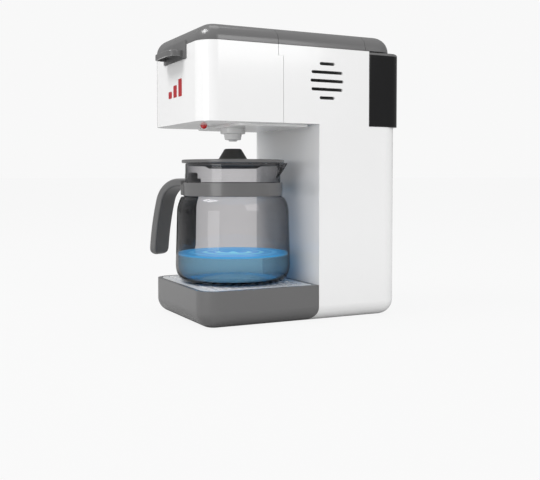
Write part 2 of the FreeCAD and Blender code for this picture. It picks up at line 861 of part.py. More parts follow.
def front_base():
    shape = box(-half_width, half_width, front, base_rear, 0, base_height).common(body_form(0, 0))
    corner = box(-half_width - 1, half_width + 1, heel_y, base_rear + 1, -1, heel_radius)
    heel = rod(heel_radius, V(-half_width - 2, heel_y, heel_radius), V(half_width + 2, heel_y, heel_radius))
    shape = shape.cut(corner.cut(heel))
    grid_z = base_height - grid_thick
    recess = plate(-half_width + grid_rim, half_width - grid_rim, front + grid_rim, base_rear - grid_rim,
                   grid_z, base_height + 1, corner_radius - grid_rim, 3.0)
    inset = grid_rim + grid_ledge
    basin = plate(-half_width + inset, half_width - inset, front + inset, base_rear - inset,
                  grid_z - basin_depth, base_height, corner_radius - inset, 2.0)
    under_top = grid_z - basin_depth - wall
    under = box(-half_width, half_width, front, base_rear - wall, floor_z, under_top)
    under = under.common(body_form(wall, floor_z))
    keep = box(-half_width, half_width, heel_y - wall, base_rear, 0, heel_radius + wall)
    shape = shape.cut([recess, basin, under.cut(keep), cover_opening()])
    places = [(x, y) for x, y in cover_boss_places() if y < 0]
    shape = shape.fuse([cover_boss(x, y) for x, y in places])
    return shape.cut([cover_boss_bore(x, y) for x, y in places])


def drip_grid():
    inset = grid_rim + seam
    y0 = front + inset
    y1 = base_rear - inset
    shape = plate(-half_width + inset, half_width - inset, y0, y1, base_height - grid_thick,
                  base_height, corner_radius - inset, grid_corner)
    centre = grid_centre_slot / 2
    inner = centre + grid_bridge
    outer = half_width - inset - grid_end
    pitch = (y1 - y0 - 2 * grid_margin) / grid_rows
    slots = []
    for row in range(grid_rows):
        y = y0 + grid_margin + (row + 0.5) * pitch
        for x0, x1 in ((-outer, -inner), (-centre, centre), (inner, outer)):
            slots.append(plate(x0, x1, y - grid_slot_width / 2, y + grid_slot_width / 2,
                               base_height - grid_thick - 1, base_height + 1,
                               grid_slot_corner, grid_slot_corner))
    return shape.cut(slots)


def battery_space(grow, z0, z1):
    x = cell_length / 2 + 4.0 + grow
    y = cell_pitch * cell_count / 2 + grow
    return box(-x, x, battery_y - y, battery_y + y, z0, z1)


def door_screw_x():
    return cell_length / 2 + 4.0 + box_wall + 4.5


def door_lug(grow, z0, z1):
    x = door_screw_x()
    return box(0, x + 4.5 + grow, battery_y - 5.0 - grow, battery_y + 5.0 + grow, z0, z1)


def bottom_cover():
    shape = plate(-cover_half, cover_half, front + cover_inset, rear - cover_inset,
                  0, cover_thick, 3.7, 3.7)
    shape = shape.fuse(battery_space(box_wall, cover_thick - 0.5, box_top))
    x = door_screw_x()
    shape = shape.fuse(upright(3.5, x, battery_y, cover_thick - 0.5, cover_thick + 9.0))
    cuts = [battery_space(0, -1, box_top - box_wall), door_lug(0.2, -1, 1.6)]
    cuts.append(upright(1.3, x, battery_y, -1, cover_thick + 7.0))
    for bx, by in cover_boss_places():
        cuts.append(upright(screw_radius + 0.2, bx, by, -1, cover_thick + 1))
        cuts.append(Part.makeCone(3.2, screw_radius + 0.2, 1.5, V(bx, by, 0)))
    reach = switch_knob_length + switch_travel
    cuts.append(box(-reach / 2 - 0.3, reach / 2 + 0.3, switch_y - switch_knob_width / 2 - 0.2,
                    switch_y + switch_knob_width / 2 + 0.2, -1, cover_thick + 1))
    return shape.cut(cuts)


def battery_door():
    play = 0.25
    x = cell_length / 2 + 4.0 - play
    y = cell_pitch * cell_count / 2 - play
    door = box(-x, x, battery_y - y, battery_y + y, 0, 1.6)
    shape = door.fuse(door_lug(0, 0, 1.5))
    return shape.cut([upright(1.5, door_screw_x(), battery_y, -1, 3),
                      upright(2.6, door_screw_x(), battery_y, -1, 0.9)])


def battery_door_screw():
    x = door_screw_x()
    head = upright(2.4, x, battery_y, 0.1, 0.9)
    return head.fuse(upright(1.25, x, battery_y, 0.9, cover_thick + 6.0))


def batteries():
    cells = []
    for index in range(cell_count):
        y = battery_y + (index - (cell_count - 1) / 2) * cell_pitch
        way = 1 if index % 2 == 0 else -1
        start = V(-way * cell_length / 2, y, cell_z)
        can = rod(cell_radius, start, V(way * (cell_length / 2 - 1.5), y, cell_z))
        nub = rod(2.6, V(way * (cell_length / 2 - 1.5), y, cell_z), V(way * cell_length / 2, y, cell_z))
        cells.append(can.fuse(nub))
    return Part.makeCompound(cells)


def battery_contacts():
    pieces = []
    for index in range(cell_count):
        y = battery_y + (index - (cell_count - 1) / 2) * cell_pitch
        for side in (-1, 1):
            x = side * (cell_length / 2 + 4.0)
            leaf = rod(5.0, V(x, y, cell_z), V(x - side * 0.5, y, cell_z))
            cone = Part.makeCone(4.2, 2.2, 3.3, V(x - side * 0.5, y, cell_z), V(-side, 0, 0))
            pieces.append(leaf.fuse(cone))
    return Part.makeCompound(pieces)


def base_screws():
    screws = []
    for x, y in cover_boss_places():
        head = Part.makeCone(3.0, screw_radius, 1.4, V(x, y, 0.1))
        screws.append(head.fuse(upright(screw_radius, x, y, 1.4, cover_thick + 9.0)))
    return Part.makeCompound(screws)


def housing_screws():
    screws = []
    for y, z in housing_screw_places():
        head = rod(screw_head_radius, V(-screw_seat_x - screw_head_thick, y, z), V(-screw_seat_x, y, z))
        screws.append(head.fuse(rod(screw_radius, V(-screw_seat_x - 0.5, y, z), V(screw_grip, y, z))))
    return Part.makeCompound(screws)


def power_switch():
    reach = (switch_knob_length + switch_travel) / 2
    knob = box(-reach, -reach + switch_knob_length, switch_y - switch_knob_width / 2,
               switch_y + switch_knob_width / 2, 0.3, cover_thick + 0.2)
    ridges = [box(-reach + 0.8 + 1.3 * step, -reach + 1.4 + 1.3 * step, switch_y - 2, switch_y + 2, 0, 0.8)
              for step in range(3)]
    slide = box(-reach - 2.0, -reach + switch_knob_length + 2.0, switch_y - 3.5, switch_y + 3.5,
                cover_thick + 0.2, cover_thick + 1.6)
    return knob.cut(ridges).fuse(slide)


def switch_housing():
    reach = (switch_knob_length + switch_travel) / 2 + 2.4
    shape = box(-reach - 1.2, reach + 1.2, switch_y - 5.2, switch_y + 5.2, cover_thick, cover_thick + 6.0)
    room = box(-reach, reach, switch_y - 3.8, switch_y + 3.8, cover_thick - 1, cover_thick + 2.0)
    return shape.cut(room)


# Jug

def foot_arc(offset, bottom):
    """Round stretch between the jug's flat foot and its wall."""
    low = jug_z + jug_foot_height
    foot = V(jug_radius - jug_foot_inset + offset, 0, bottom)
    side = V(jug_radius + offset, 0, low)
    belly = V(side.x - 0.29 * (side.x - foot.x), 0, bottom + 0.29 * (low - bottom))
    return Part.Arc(foot, belly, side)


def wall_radius(z, offset, bottom=jug_z):
    """Outside radius of the jug at a height below its shoulder, moved out by an offset."""
    low = jug_z + jug_foot_height
    high = collar_z - shoulder_drop
    if z >= low:
        return jug_radius + offset - jug_taper * (z - low) / (high - low)
    circle = foot_arc(offset, bottom).toShape().Curve
    return circle.Center.x + math.sqrt(circle.Radius ** 2 - (z - circle.Center.z) ** 2)


def jug_outline(offset, bottom, top):
    """Half outline of the jug's body as a face; offset moves the wall out or in."""
    high = collar_z - shoulder_drop
    around = foot_arc(offset, bottom)
    shoulder = V(wall_radius(high, offset), 0, high)
    neck = V(neck_radius + offset, 0, collar_z)
    bend = V(shoulder.x - 0.29 * (shoulder.x - neck.x), 0, high + 0.71 * (collar_z - high))
    edges = [
        Part.makeLine(V(0, 0, bottom), around.StartPoint),
        around.toShape(),
        Part.makeLine(around.EndPoint, shoulder),
        Part.Arc(shoulder, bend, neck).toShape(),
        Part.makeLine(neck, V(neck.x, 0, top)),
        Part.makeLine(V(neck.x, 0, top), V(0, 0, top)),
        Part.makeLine(V(0, 0, top), V(0, 0, bottom)),
    ]
    return Part.Face(Part.Wire(edges))


def jug_solid(offset, bottom, top):
    solid = jug_outline(offset, bottom, top).revolve(V(0, 0, 0), V(0, 0, 1), 360)
    solid.translate(V(0, jug_y, 0))
    return solid


def spout_wedge(inset, top):
    """Beak under the rim, wide at the rim and closing to a line at its foot."""
    turn = math.radians(spout_half_angle)
    root = neck_radius - jug_wall
    wires = []
    for share, z in ((0.06, rim_z - spout_height + inset * 1.2), (1.0, top)):
        wide = (root * math.sin(turn) - inset) * share
        reach = neck_radius + (spout_reach - inset * 1.6 - neck_radius) * share
        lip = 2.2 * share
        points = [V(root - 3.0, -wide, z), V(reach, -lip, z), V(reach, lip, z), V(root - 3.0, wide, z)]
        wires.append(Part.makePolygon(points + [points[0]]))
    return radial(Part.makeLoft(wires, True, True), spout_angle)


def jug_glass():
    outer = jug_solid(0, jug_z, rim_z).fuse(spout_wedge(0, rim_z))
    inner = jug_solid(-jug_wall, jug_z + jug_wall * 1.4, rim_z + 1)
    inner = inner.fuse(spout_wedge(jug_wall * 0.7, rim_z + 1))
    shape = outer.cut(inner)
    foot = upright(jug_radius - jug_foot_inset - 8.0, 0, jug_y, jug_z - 1, jug_z + 0.8)
    shape = shape.cut(foot)
    return shape.cut([handle_screw_bore(drop, 0.1) for drop in handle_screw_drops])


def handle_screw_bore(drop, play):
    z = collar_z - drop
    at = wall_radius(z, 0)
    bore = rod(handle_screw_radius + play, V(at - 6, 0, z), V(at + plate_thick - 0.6, 0, z))
    return radial(bore, handle_angle)


def jug_collar():
    ring = upright(neck_radius + 0.1 + collar_thick, 0, jug_y, collar_z + 0.1, collar_top_z)
    ring = ring.cut(upright(neck_radius + 0.1, 0, jug_y, collar_z - 1, collar_top_z + 1))
    gap = box(0, jug_radius, -handle_width / 2 - 0.2, handle_width / 2 + 0.2, collar_z - 1, collar_top_z + 1)
    return ring.cut(radial(gap, handle_angle))


def strap_section(x, z):
    """Rounded cross-section of the handle, square to the arm where it starts."""
    flat = plate(-handle_thick / 2, handle_thick / 2, -handle_width / 2, handle_width / 2,
                 0, 1.0, handle_edge, handle_edge)
    outline = [face for face in flat.Faces if face.BoundBox.ZMax < 0.5][0].OuterWire
    outline.rotate(V(0, 0, 0), V(0, 1, 0), 90)
    outline.translate(V(x, 0, z))
    return outline


def handle_strap():
    """Arm, bend and grip as one strap, drawn in the plane of the handle."""
    start = V(neck_radius - 3.0, 0, rim_z - handle_arm_drop - handle_thick / 2)
    bend_x = neck_radius + handle_arm
    lean = math.radians(handle_lean)
    flare = math.radians(handle_flare)
    hub = V(bend_x, 0, start.z - handle_bend)
    half_way = (math.pi / 2 + lean) / 2
    knee = hub.add(V(math.cos(lean), 0, math.sin(lean)) * handle_bend)
    far_hub = knee.sub(V(math.cos(lean), 0, math.sin(lean)) * handle_grip_bend)
    mid_lean = (lean + flare) / 2
    middle = far_hub.add(V(math.cos(mid_lean), 0, math.sin(mid_lean)) * handle_grip_bend)
    end = far_hub.add(V(math.cos(flare), 0, math.sin(flare)) * handle_grip_bend)
    path = Part.Wire([
        Part.makeLine(start, V(bend_x, 0, start.z)),
        Part.Arc(V(bend_x, 0, start.z), hub.add(V(math.cos(half_way), 0, math.sin(half_way)) * handle_bend),
                 knee).toShape(),
        Part.Arc(knee, middle, end).toShape(),
    ])
    strap = path.makePipeShell([strap_section(start.x, start.z)], True, True)
    half = handle_width / 2
    tip = rod(handle_thick / 2, V(end.x, -half, end.z), V(end.x, half, end.z))
    rims = [edge for edge in tip.Edges if edge.BoundBox.YLength < 0.01]
    return strap.fuse(tip.makeFillet(handle_edge, rims))


def jug_handle():
    half = handle_width / 2
    root = box(neck_radius - 3, neck_radius + 8.0, -half, half, collar_z + 0.3,
               rim_z - handle_arm_drop - 1.0)
    up = upstand_width / 2
    upstand = box(neck_radius - 3, neck_radius + upstand_thick, -up, up, collar_top_z - 3,
                  collar_top_z + upstand_height)
    upstand = upstand.makeFillet(2.0, level_edges(upstand, collar_top_z + upstand_height))
    shape = radial(handle_strap().fuse([root, upstand]), handle_angle)
    return shape.cut(upright(neck_radius + 0.1, 0, jug_y, collar_z - 20, rim_z + 5))


def handle_back_plate():
    top = collar_z - plate_top_drop
    shell = jug_solid(0.15 + plate_thick, jug_z, rim_z).cut(jug_solid(0.15, jug_z - 1, rim_z + 1))
    half = handle_width / 2 - 0.5
    band = box(neck_radius / 2, jug_radius + 2 * plate_thick, -half, half, top - plate_length, top)
    shape = shell.common(radial(band, handle_angle))
    return shape.cut([handle_screw_bore(drop, 0.05) for drop in handle_screw_drops])


def handle_screws():
    screws = []
    for drop in handle_screw_drops:
        z = collar_z - drop
        inside = min(wall_radius(at, -jug_wall, jug_z + jug_wall * 1.4) for at in (z - handle_screw_head, z))
        end = inside + jug_wall + plate_thick - 0.8
        shaft = rod(handle_screw_radius, V(inside - 0.6, 0, z), V(end, 0, z))
        head = rod(handle_screw_head, V(inside - 1.7, 0, z), V(inside - 0.3, 0, z))
        screws.append(radial(shaft.fuse(head), handle_angle))
    return Part.makeCompound(screws)


def jug_lid():
    disc = lid_disc_radius
    skirt = neck_radius - jug_wall - skirt_play
    points = ((drip_radius, lid_z), (skirt - skirt_thick, lid_z),
              (skirt - skirt_thick, lid_z - skirt_height), (skirt, lid_z - skirt_height), (skirt, lid_z),
              (disc - 1.0, lid_z), (disc, lid_z + 1.0), (disc, lid_top_z - 1.0), (disc - 1.4, lid_top_z),
              (drip_radius, lid_top_z))
    return turned(points, 0, jug_y)


def lid_knob():
    points = ((drip_radius, lid_top_z), (knob_foot_radius, lid_top_z), (knob_foot_radius, lid_top_z + 0.8),
              (knob_top_radius + 0.6, knob_z - 0.7), (knob_top_radius - 0.3, knob_z), (drip_radius, knob_z))
    return turned(points, 0, jug_y)


def lid_plug():
    points = ((drip_radius, lid_z), (plug_top_radius, lid_z), (plug_foot_radius, lid_z - plug_drop),
              (drip_radius, lid_z - plug_drop))
    return turned(points, 0, jug_y)


# Every piece under its own name

pieces = {
    "body_left_shell": body_left_shell,
    "body_right_shell": body_right_shell,
    "brew_head_front": brew_head_front,
    "top_cover": top_cover,
    "front_lid": front_lid,
    "rear_flap": rear_flap,
    "start_button": start_button,
    "button_spring": button_spring,
    "switch_board": switch_board,
    "speaker": speaker,
    "circuit_board": circuit_board,
    "water_tank": water_tank,
    "tank_rim": tank_rim,
    "tank_socket": tank_socket,
    "water_pump": water_pump,
    "inlet_tube": inlet_tube,
    "outlet_tube": outlet_tube,
    "outlet_plate": outlet_plate,
    "nozzle": nozzle,
    "led_lens": led_lens,
    "led_lamp": led_lamp,
    "filter_deck": filter_deck,
    "filter_basket": filter_basket,
    "filter_mesh": filter_mesh,
    "front_base": front_base,
    "drip_grid": drip_grid,
    "bottom_cover": bottom_cover,
    "battery_door": battery_door,
    "battery_door_screw": battery_door_screw,
    "batteries": batteries,
    "battery_contacts": battery_contacts,
    "base_screws": base_screws,
    "housing_screws": housing_screws,
    "power_switch": power_switch,
    "switch_housing": switch_housing,
    "jug_glass": jug_glass,
    "jug_collar": jug_collar,
    "jug_handle": jug_handle,
    "handle_back_plate": handle_back_plate,
    "handle_screws": handle_screws,
    "jug_lid": jug_lid,
    "lid_knob": lid_knob,
    "lid_plug": lid_plug,
}

for name, make in pieces.items():
    save(name, make())
save("front_lid_pin", hinge_pin(front_hinge_y))
save("rear_flap_pin", hinge_pin(flap_hinge_y))
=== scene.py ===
"""Looks of a toy drip coffee maker with a lift-out jug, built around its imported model.

Metres, +Z up. The front with the finger tab faces -Y and the loudspeaker side faces +X.
"""

import json
import logging
import math
from collections.abc import Sequence
from dataclasses import dataclass, field
from enum import Enum
from typing import Any, Protocol

import bmesh
import bpy
from bmesh.types import BMesh, BMFace, BMVert
from mathutils import Matrix, Vector

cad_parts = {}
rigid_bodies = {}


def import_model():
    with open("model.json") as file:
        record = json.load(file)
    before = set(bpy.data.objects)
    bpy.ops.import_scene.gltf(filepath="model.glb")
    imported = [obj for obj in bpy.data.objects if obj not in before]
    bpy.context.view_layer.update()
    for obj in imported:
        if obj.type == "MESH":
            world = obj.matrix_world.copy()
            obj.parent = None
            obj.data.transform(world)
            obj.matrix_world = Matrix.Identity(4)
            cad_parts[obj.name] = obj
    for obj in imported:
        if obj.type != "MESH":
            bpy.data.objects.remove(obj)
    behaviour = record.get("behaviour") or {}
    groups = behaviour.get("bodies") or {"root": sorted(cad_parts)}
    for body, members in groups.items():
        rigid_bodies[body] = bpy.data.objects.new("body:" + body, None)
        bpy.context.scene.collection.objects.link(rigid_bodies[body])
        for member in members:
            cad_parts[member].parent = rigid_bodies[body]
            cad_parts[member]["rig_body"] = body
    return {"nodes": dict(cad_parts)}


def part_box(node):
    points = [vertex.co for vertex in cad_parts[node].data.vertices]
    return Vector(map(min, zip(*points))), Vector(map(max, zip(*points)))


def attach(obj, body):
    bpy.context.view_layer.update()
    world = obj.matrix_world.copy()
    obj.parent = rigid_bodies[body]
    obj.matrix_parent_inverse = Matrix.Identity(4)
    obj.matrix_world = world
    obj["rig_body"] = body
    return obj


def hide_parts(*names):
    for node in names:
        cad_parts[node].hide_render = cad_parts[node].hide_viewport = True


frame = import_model()

log = logging.getLogger("coffee_maker")
MM = 0.001
UP = Vector((0.0, 0.0, 1.0))
ORIGIN = Vector((0.0, 0.0, 0.0))
FULL_TURN = 2.0 * math.pi
SEAM = 0.0001 * MM
Colour = tuple[float, float, float]
Outline = list[tuple[float, float]]


# Shader tools

class Value:
    """A shader number that Python's operators work on."""

    def __init__(self, shader: "Shader", socket: bpy.types.NodeSocket) -> None:
        """Wrap one socket.

        Args:
            shader: The material builder that new Math nodes go to.
            socket: The output that carries the number.
        """
        self.shader = shader
        self.socket = socket

    def _math(self, operation: str, first: Any, second: Any) -> "Value":
        """Add one Math node.

        Args:
            operation: The Math node's operation.
            first: A Value or number.
            second: A Value or number.

        Returns:
            The node's result.
        """
        node = self.shader.node("ShaderNodeMath", {"operation": operation},
                                {0: first, 1: second})
        return Value(self.shader, node.outputs[0])

    def __add__(self, other: Any) -> "Value":
        """self + other."""
        return self._math("ADD", self, other)

    def __radd__(self, other: Any) -> "Value":
        """other + self."""
        return self._math("ADD", other, self)

    def __sub__(self, other: Any) -> "Value":
        """self - other."""
        return self._math("SUBTRACT", self, other)

    def __rsub__(self, other: Any) -> "Value":
        """other - self."""
        return self._math("SUBTRACT", other, self)

    def __mul__(self, other: Any) -> "Value":
        """self * other."""
        return self._math("MULTIPLY", self, other)

    def __truediv__(self, other: Any) -> "Value":
        """self / other."""
        return self._math("DIVIDE", self, other)

    def __pow__(self, other: Any) -> "Value":
        """self ** other."""
        return self._math("POWER", self, other)

    def smallest(self, other: Any) -> "Value":
        """The smaller of self and other."""
        return self._math("MINIMUM", self, other)

    def largest(self, other: Any) -> "Value":
        """The larger of self and other."""
        return self._math("MAXIMUM", self, other)

    def clipped(self) -> "Value":
        """self, held between 0 and 1."""
        return self.largest(0.0).smallest(1.0)

    def sine(self) -> "Value":
        """sin(self)."""
        return self._math("SINE", self, 0.0)


class Shader:
    """Builds the nodes of one material or world."""

    def __init__(self, owner: bpy.types.Material | bpy.types.World, output: str) -> None:
        """Start with only an output node.

        Args:
            owner: The new material or world.
            output: Blender's type of its output node.
        """
        owner.use_nodes = True
        self.owner = owner
        self.tree = owner.node_tree
        self.tree.nodes.clear()
        self.output = self.node(output, {}, {})

    @classmethod
    def of_material(cls, name: str) -> "Shader":
        """Start an empty material."""
        return cls(bpy.data.materials.new(name), "ShaderNodeOutputMaterial")

    def node(self, kind: str, settings: dict[str, Any],
             sockets: dict[Any, Any]) -> bpy.types.Node:
        """Add any node.

        Args:
            kind: Blender's node type.
            settings: Attributes set before the sockets; "stops" fills a colour ramp.
            sockets: Input names or indices, each with a constant, a socket or a Value.

        Returns:
            The new node.
        """
        made = self.tree.nodes.new(kind)
        for name, setting in settings.items():
            if name == "stops":
                self._fill_ramp(made.color_ramp, setting)
            else:
                setattr(made, name, setting)
        for name, given in sockets.items():
            if isinstance(given, Value):
                given = given.socket
            if isinstance(given, bpy.types.NodeSocket):
                self.tree.links.new(given, made.inputs[name])
            else:
                made.inputs[name].default_value = given
        return made

    @staticmethod
    def _fill_ramp(ramp: bpy.types.ColorRamp, stops: Sequence[tuple[float, Colour]]) -> None:
        """Give a colour ramp its stops.

        Args:
            ramp: The ramp of a new node, which has two stops.
            stops: Places from 0 to 1 with their colours.
        """
        while len(ramp.elements) < len(stops):
            ramp.elements.new(1.0)
        for element, (place, colour) in zip(ramp.elements, stops):
            element.position = place
            element.color = (*colour, 1.0)

    def finish(self, result: bpy.types.Node, port: str = "Surface") -> None:
        """Join a node's first output to the output node.

        Args:
            result: The last node of the network.
            port: The output node's input.
        """
        self.tree.links.new(result.outputs[0], self.output.inputs[port])

    def place(self) -> bpy.types.NodeSocket:
        """Object coordinates, in metres."""
        return self.node("ShaderNodeTexCoord", {}, {}).outputs["Object"]

    def moved(self, shift: Vector,
              scale: Sequence[float] = (1.0, 1.0, 1.0)) -> bpy.types.NodeSocket:
        """Object coordinates measured from a point.

        Args:
            shift: The point that becomes the pattern's origin.
            scale: Stretch along each axis, after the shift.

        Returns:
            The Mapping node's vector.
        """
        return self.node("ShaderNodeMapping", {"vector_type": "TEXTURE"}, {
            "Vector": self.place(), "Location": tuple(shift),
            "Scale": tuple(1.0 / part for part in scale)}).outputs[0]

    def noise(self, scale: float, detail: float = 3.0, roughness: float = 0.5,
              vector: bpy.types.NodeSocket | None = None) -> Value:
        """Cloudy pattern from 0 to 1.

        Args:
            scale: Features per metre.
            detail: Octaves.
            roughness: Strength of the finer octaves.
            vector: Coordinates, or None for Object coordinates.

        Returns:
            The pattern.
        """
        made = self.node("ShaderNodeTexNoise", {}, {
            "Vector": vector or self.place(), "Scale": scale, "Detail": detail,
            "Roughness": roughness})
        return Value(self, made.outputs[0])

    def parts(self, vector: bpy.types.NodeSocket) -> tuple[Value, Value, Value]:
        """Take a vector apart.

        Args:
            vector: The vector's socket.

        Returns:
            Its three numbers.
        """
        made = self.node("ShaderNodeSeparateXYZ", {}, {0: vector})
        across, along, above = made.outputs
        return Value(self, across), Value(self, along), Value(self, above)

    def blend(self, share: Any, first: Any, second: Any) -> bpy.types.NodeSocket:
        """Mix two colours.

        Args:
            share: 0 gives the first colour and 1 the second.
            first: A colour or socket.
            second: A colour or socket.

        Returns:
            The mixed colour.
        """
        made = self.node("ShaderNodeMix", {"data_type": "RGBA"}, {
            0: share, 6: self._rgba(first), 7: self._rgba(second)})
        return made.outputs[2]

    @staticmethod
    def _rgba(colour: Any) -> Any:
        """Add alpha to a plain colour and pass sockets on."""
        return (*colour, 1.0) if isinstance(colour, tuple) and len(colour) == 3 else colour

    def ramp(self, share: Any, stops: Sequence[tuple[float, Colour]]) -> bpy.types.NodeSocket:
        """Colours along a pattern."""
        return self.node("ShaderNodeValToRGB", {"stops": stops}, {0: share}).outputs[0]

    def bump(self, height: Any, depth: float, strength: float = 1.0,
             under: bpy.types.NodeSocket | None = None) -> bpy.types.NodeSocket:
        """Turn a height pattern into a normal.

        Args:
            height: Pattern from 0 to 1.
            depth: Its height in metres.
            strength: Share of the effect.
            under: A normal that this one adds to.

        Returns:
            The normal.
        """
        sockets = {"Height": height, "Distance": depth, "Strength": strength}
        if under is not None:
            sockets["Normal"] = under
        return self.node("ShaderNodeBump", {}, sockets).outputs[0]

    def mixed(self, share: Any, first: bpy.types.Node, second: bpy.types.Node) -> bpy.types.Node:
        """Mix two shaders, the second one by the given share."""
        return self.node("ShaderNodeMixShader", {}, {
            0: share, 1: first.outputs[0], 2: second.outputs[0]})

    def principled(self, sockets: dict[str, Any]) -> None:
        """Add the main shader and join it to the output."""
        colour = self._rgba(sockets["Base Color"])
        self.finish(self.node("ShaderNodeBsdfPrincipled", {}, {**sockets, "Base Color": colour}))


# Finishes

class Finish(Protocol):
    """Anything that can build a material."""

    def material(self) -> bpy.types.Material:
        """Build the material."""


@dataclass(frozen=True)
class MouldedPlastic:
    """Injection-moulded plastic with faint flow marks, orange peel and handling haze."""

    name: str
    colour: Colour
    gloss: float = 0.25
    mottle: float = 0.03
    peel: float = 0.00001
    peel_scale: float = 900.0
    grain: float = 0.0
    grain_scale: float = 9000.0
    coat: float = 0.0
    specular: float = 0.5

    def material(self) -> bpy.types.Material:
        """Build the material.

        Returns:
            The finished material.
        """
        shader = Shader.of_material(self.name)
        flow = shader.noise(14.0, detail=2.0)
        darker = tuple(part * (1.0 - self.mottle) for part in self.colour)
        lighter = tuple(min(1.0, part * (1.0 + self.mottle)) for part in self.colour)
        base = shader.ramp(flow, ((0.3, darker), (0.7, lighter)))
        haze = shader.noise(55.0, detail=4.0, roughness=0.6)
        roughness = self.gloss + (haze - 0.5) * (self.gloss * 0.35)
        normal = shader.bump(shader.noise(self.peel_scale, detail=2.0), self.peel)
        if self.grain:
            normal = shader.bump(shader.noise(self.grain_scale, detail=2.0), self.grain, under=normal)
        shader.principled({
            "Base Color": base, "Roughness": roughness, "Normal": normal,
            "Coat Weight": self.coat, "Coat Roughness": 0.06,
            "Specular IOR Level": self.specular})
        return shader.owner


@dataclass(frozen=True)
class SmokedClear:
    """Clear grey-smoked plastic that darkens where it is seen edge on."""

    name: str
    tint: Colour
    density: float
    bend: float = 1.02
    shine: float = 0.7

    def material(self) -> bpy.types.Material:
        """Build the material.

        Returns:
            The finished material.
        """
        shader = Shader.of_material(self.name)
        wipe = shader.noise(40.0, detail=3.0)
        shader.principled({
            "Base Color": self.tint, "Roughness": wipe * 0.02, "IOR": self.bend,
            "Transmission Weight": 1.0, "Coat Weight": self.shine, "Coat Roughness": 0.02,
            "Coat IOR": 1.46})
        shader.finish(shader.node("ShaderNodeVolumeAbsorption", {}, {
            "Color": (0.0, 0.0, 0.02, 1.0), "Density": self.density}), "Volume")
        return shader.owner


@dataclass(frozen=True)
class BlueWater:
    """Toy-blue water, clear below and cloudy on top, with pale rings round a centre; the cloudy part
    glows with painted light and the pale rings are painted highlights of the ripples.
    """

    name: str
    surface: Vector
    body: Colour = (0.30, 0.62, 0.80)
    top: Colour = (0.05, 0.42, 0.84)
    # Pale ring colour: painted highlight of the ripples.
    ring: Colour = (0.30, 0.76, 1.0)
    # The three glow colours are painted light: the water glows though it is no lamp.
    painted_body_glow: Colour = (0.10, 0.22, 0.29)
    painted_top_glow: Colour = (0.02, 0.33, 0.74)
    painted_ring_glow: Colour = (0.16, 0.62, 1.0)
    spacing: float = 11.5 * MM
    reach: float = 47.0 * MM
    skin: float = 1.5 * MM
    wobble: float = 6.0 * MM
    trough: float = 0.2
    steepness: float = 2.5
    fade_start: float = 1.15
    skin_lift: float = 1.6
    swell: float = 0.2 * MM
    bend: float = 1.06
    # Strength of the painted glow of the milky part.
    glow: float = 0.8
    body_cloud: float = 0.15
    top_cloud: float = 0.7
    ring_cloud: float = 0.15

    def material(self) -> bpy.types.Material:
        """Build the material.

        Returns:
            The finished material.
        """
        shader = Shader.of_material(self.name)
        across, along, above = shader.parts(shader.moved(self.surface))
        distance = (across * across + along * along) ** 0.5
        wobble = (shader.noise(30.0, detail=2.0) - 0.5) * self.wobble
        wave = ((distance + wobble) * (FULL_TURN / self.spacing)).sine()
        fade = (self.fade_start - distance / self.reach).clipped()
        skin = (above / self.skin + self.skin_lift).clipped()
        # Mask of the pale rings, where the painted ripple highlight goes.
        rings = ((wave - self.trough) * self.steepness).clipped() * fade * skin
        colour = shader.blend(rings, shader.blend(skin, self.body, self.top), self.ring)
        # Painted glow colour, from the body's up to the top's.
        below = shader.blend(skin, self.painted_body_glow, self.painted_top_glow)
        clear = shader.node("ShaderNodeBsdfPrincipled", {}, {
            "Base Color": colour, "Roughness": 0.03, "IOR": self.bend,
            "Transmission Weight": 1.0,
            "Normal": shader.bump(shader.noise(120.0, detail=2.0), self.swell)})
        # Milky part: its emission is painted glow, brightest on the top and on the pale rings.
        milky = shader.node("ShaderNodeBsdfPrincipled", {}, {
            "Base Color": colour, "Roughness": 0.3, "Specular IOR Level": 0.1,
            "Emission Color": shader.blend(rings, below, self.painted_ring_glow),
            "Emission Strength": self.glow})
        share = skin * (rings * self.ring_cloud + self.top_cloud) + self.body_cloud
        shader.finish(shader.mixed(share.smallest(1.0), clear, milky))
        return shader.owner


@dataclass(frozen=True)
class PlainMetal:
    """Bright plated steel with fine scratches."""

    name: str
    colour: Colour = (0.62, 0.62, 0.63)
    brushed: tuple[float, float, float] = (1.0, 0.05, 1.0)

    def material(self) -> bpy.types.Material:
        """Build the material.

        Returns:
            The finished material.
        """
        shader = Shader.of_material(self.name)
        scratch = shader.noise(2500.0, detail=2.0, vector=shader.moved(ORIGIN, self.brushed))
        shader.principled({
            "Base Color": self.colour, "Metallic": 1.0, "Roughness": scratch * 0.2 + 0.18,
            "Normal": shader.bump(scratch, 0.00001)})
        return shader.owner


@dataclass(frozen=True)
class LampLens:
    """Red diffusing lens with its lamp lit behind it."""

    name: str
    colour: Colour = (0.40, 0.004, 0.01)
    glow: float = 0.2

    def material(self) -> bpy.types.Material:
        """Build the material.

        Returns:
            The finished material.
        """
        shader = Shader.of_material(self.name)
        core = shader.noise(700.0, detail=1.0)
        lit = shader.ramp(core, ((0.3, self.colour), (0.75, (0.62, 0.02, 0.02))))
        shader.principled({
            "Base Color": lit, "Roughness": 0.12, "Coat Weight": 0.6, "Emission Color": lit,
            "Emission Strength": self.glow})
        return shader.owner


@dataclass(frozen=True)
class BoardGreen:
    """Lacquered circuit board with copper tracks under the mask."""

    name: str

    def material(self) -> bpy.types.Material:
        """Build the material.

        Returns:
            The finished material.
        """
        shader = Shader.of_material(self.name)
        _, along, up = shader.parts(shader.place())
        tracks = ((along * 2600.0).sine() * (up * 2100.0).sine() - 0.3).clipped()
        base = shader.blend(tracks, (0.012, 0.10, 0.045), (0.03, 0.22, 0.09))
        shader.principled({"Base Color": base, "Roughness": 0.28, "Coat Weight": 0.5,
                           "Normal": shader.bump(tracks, 0.00004)})
        return shader.owner


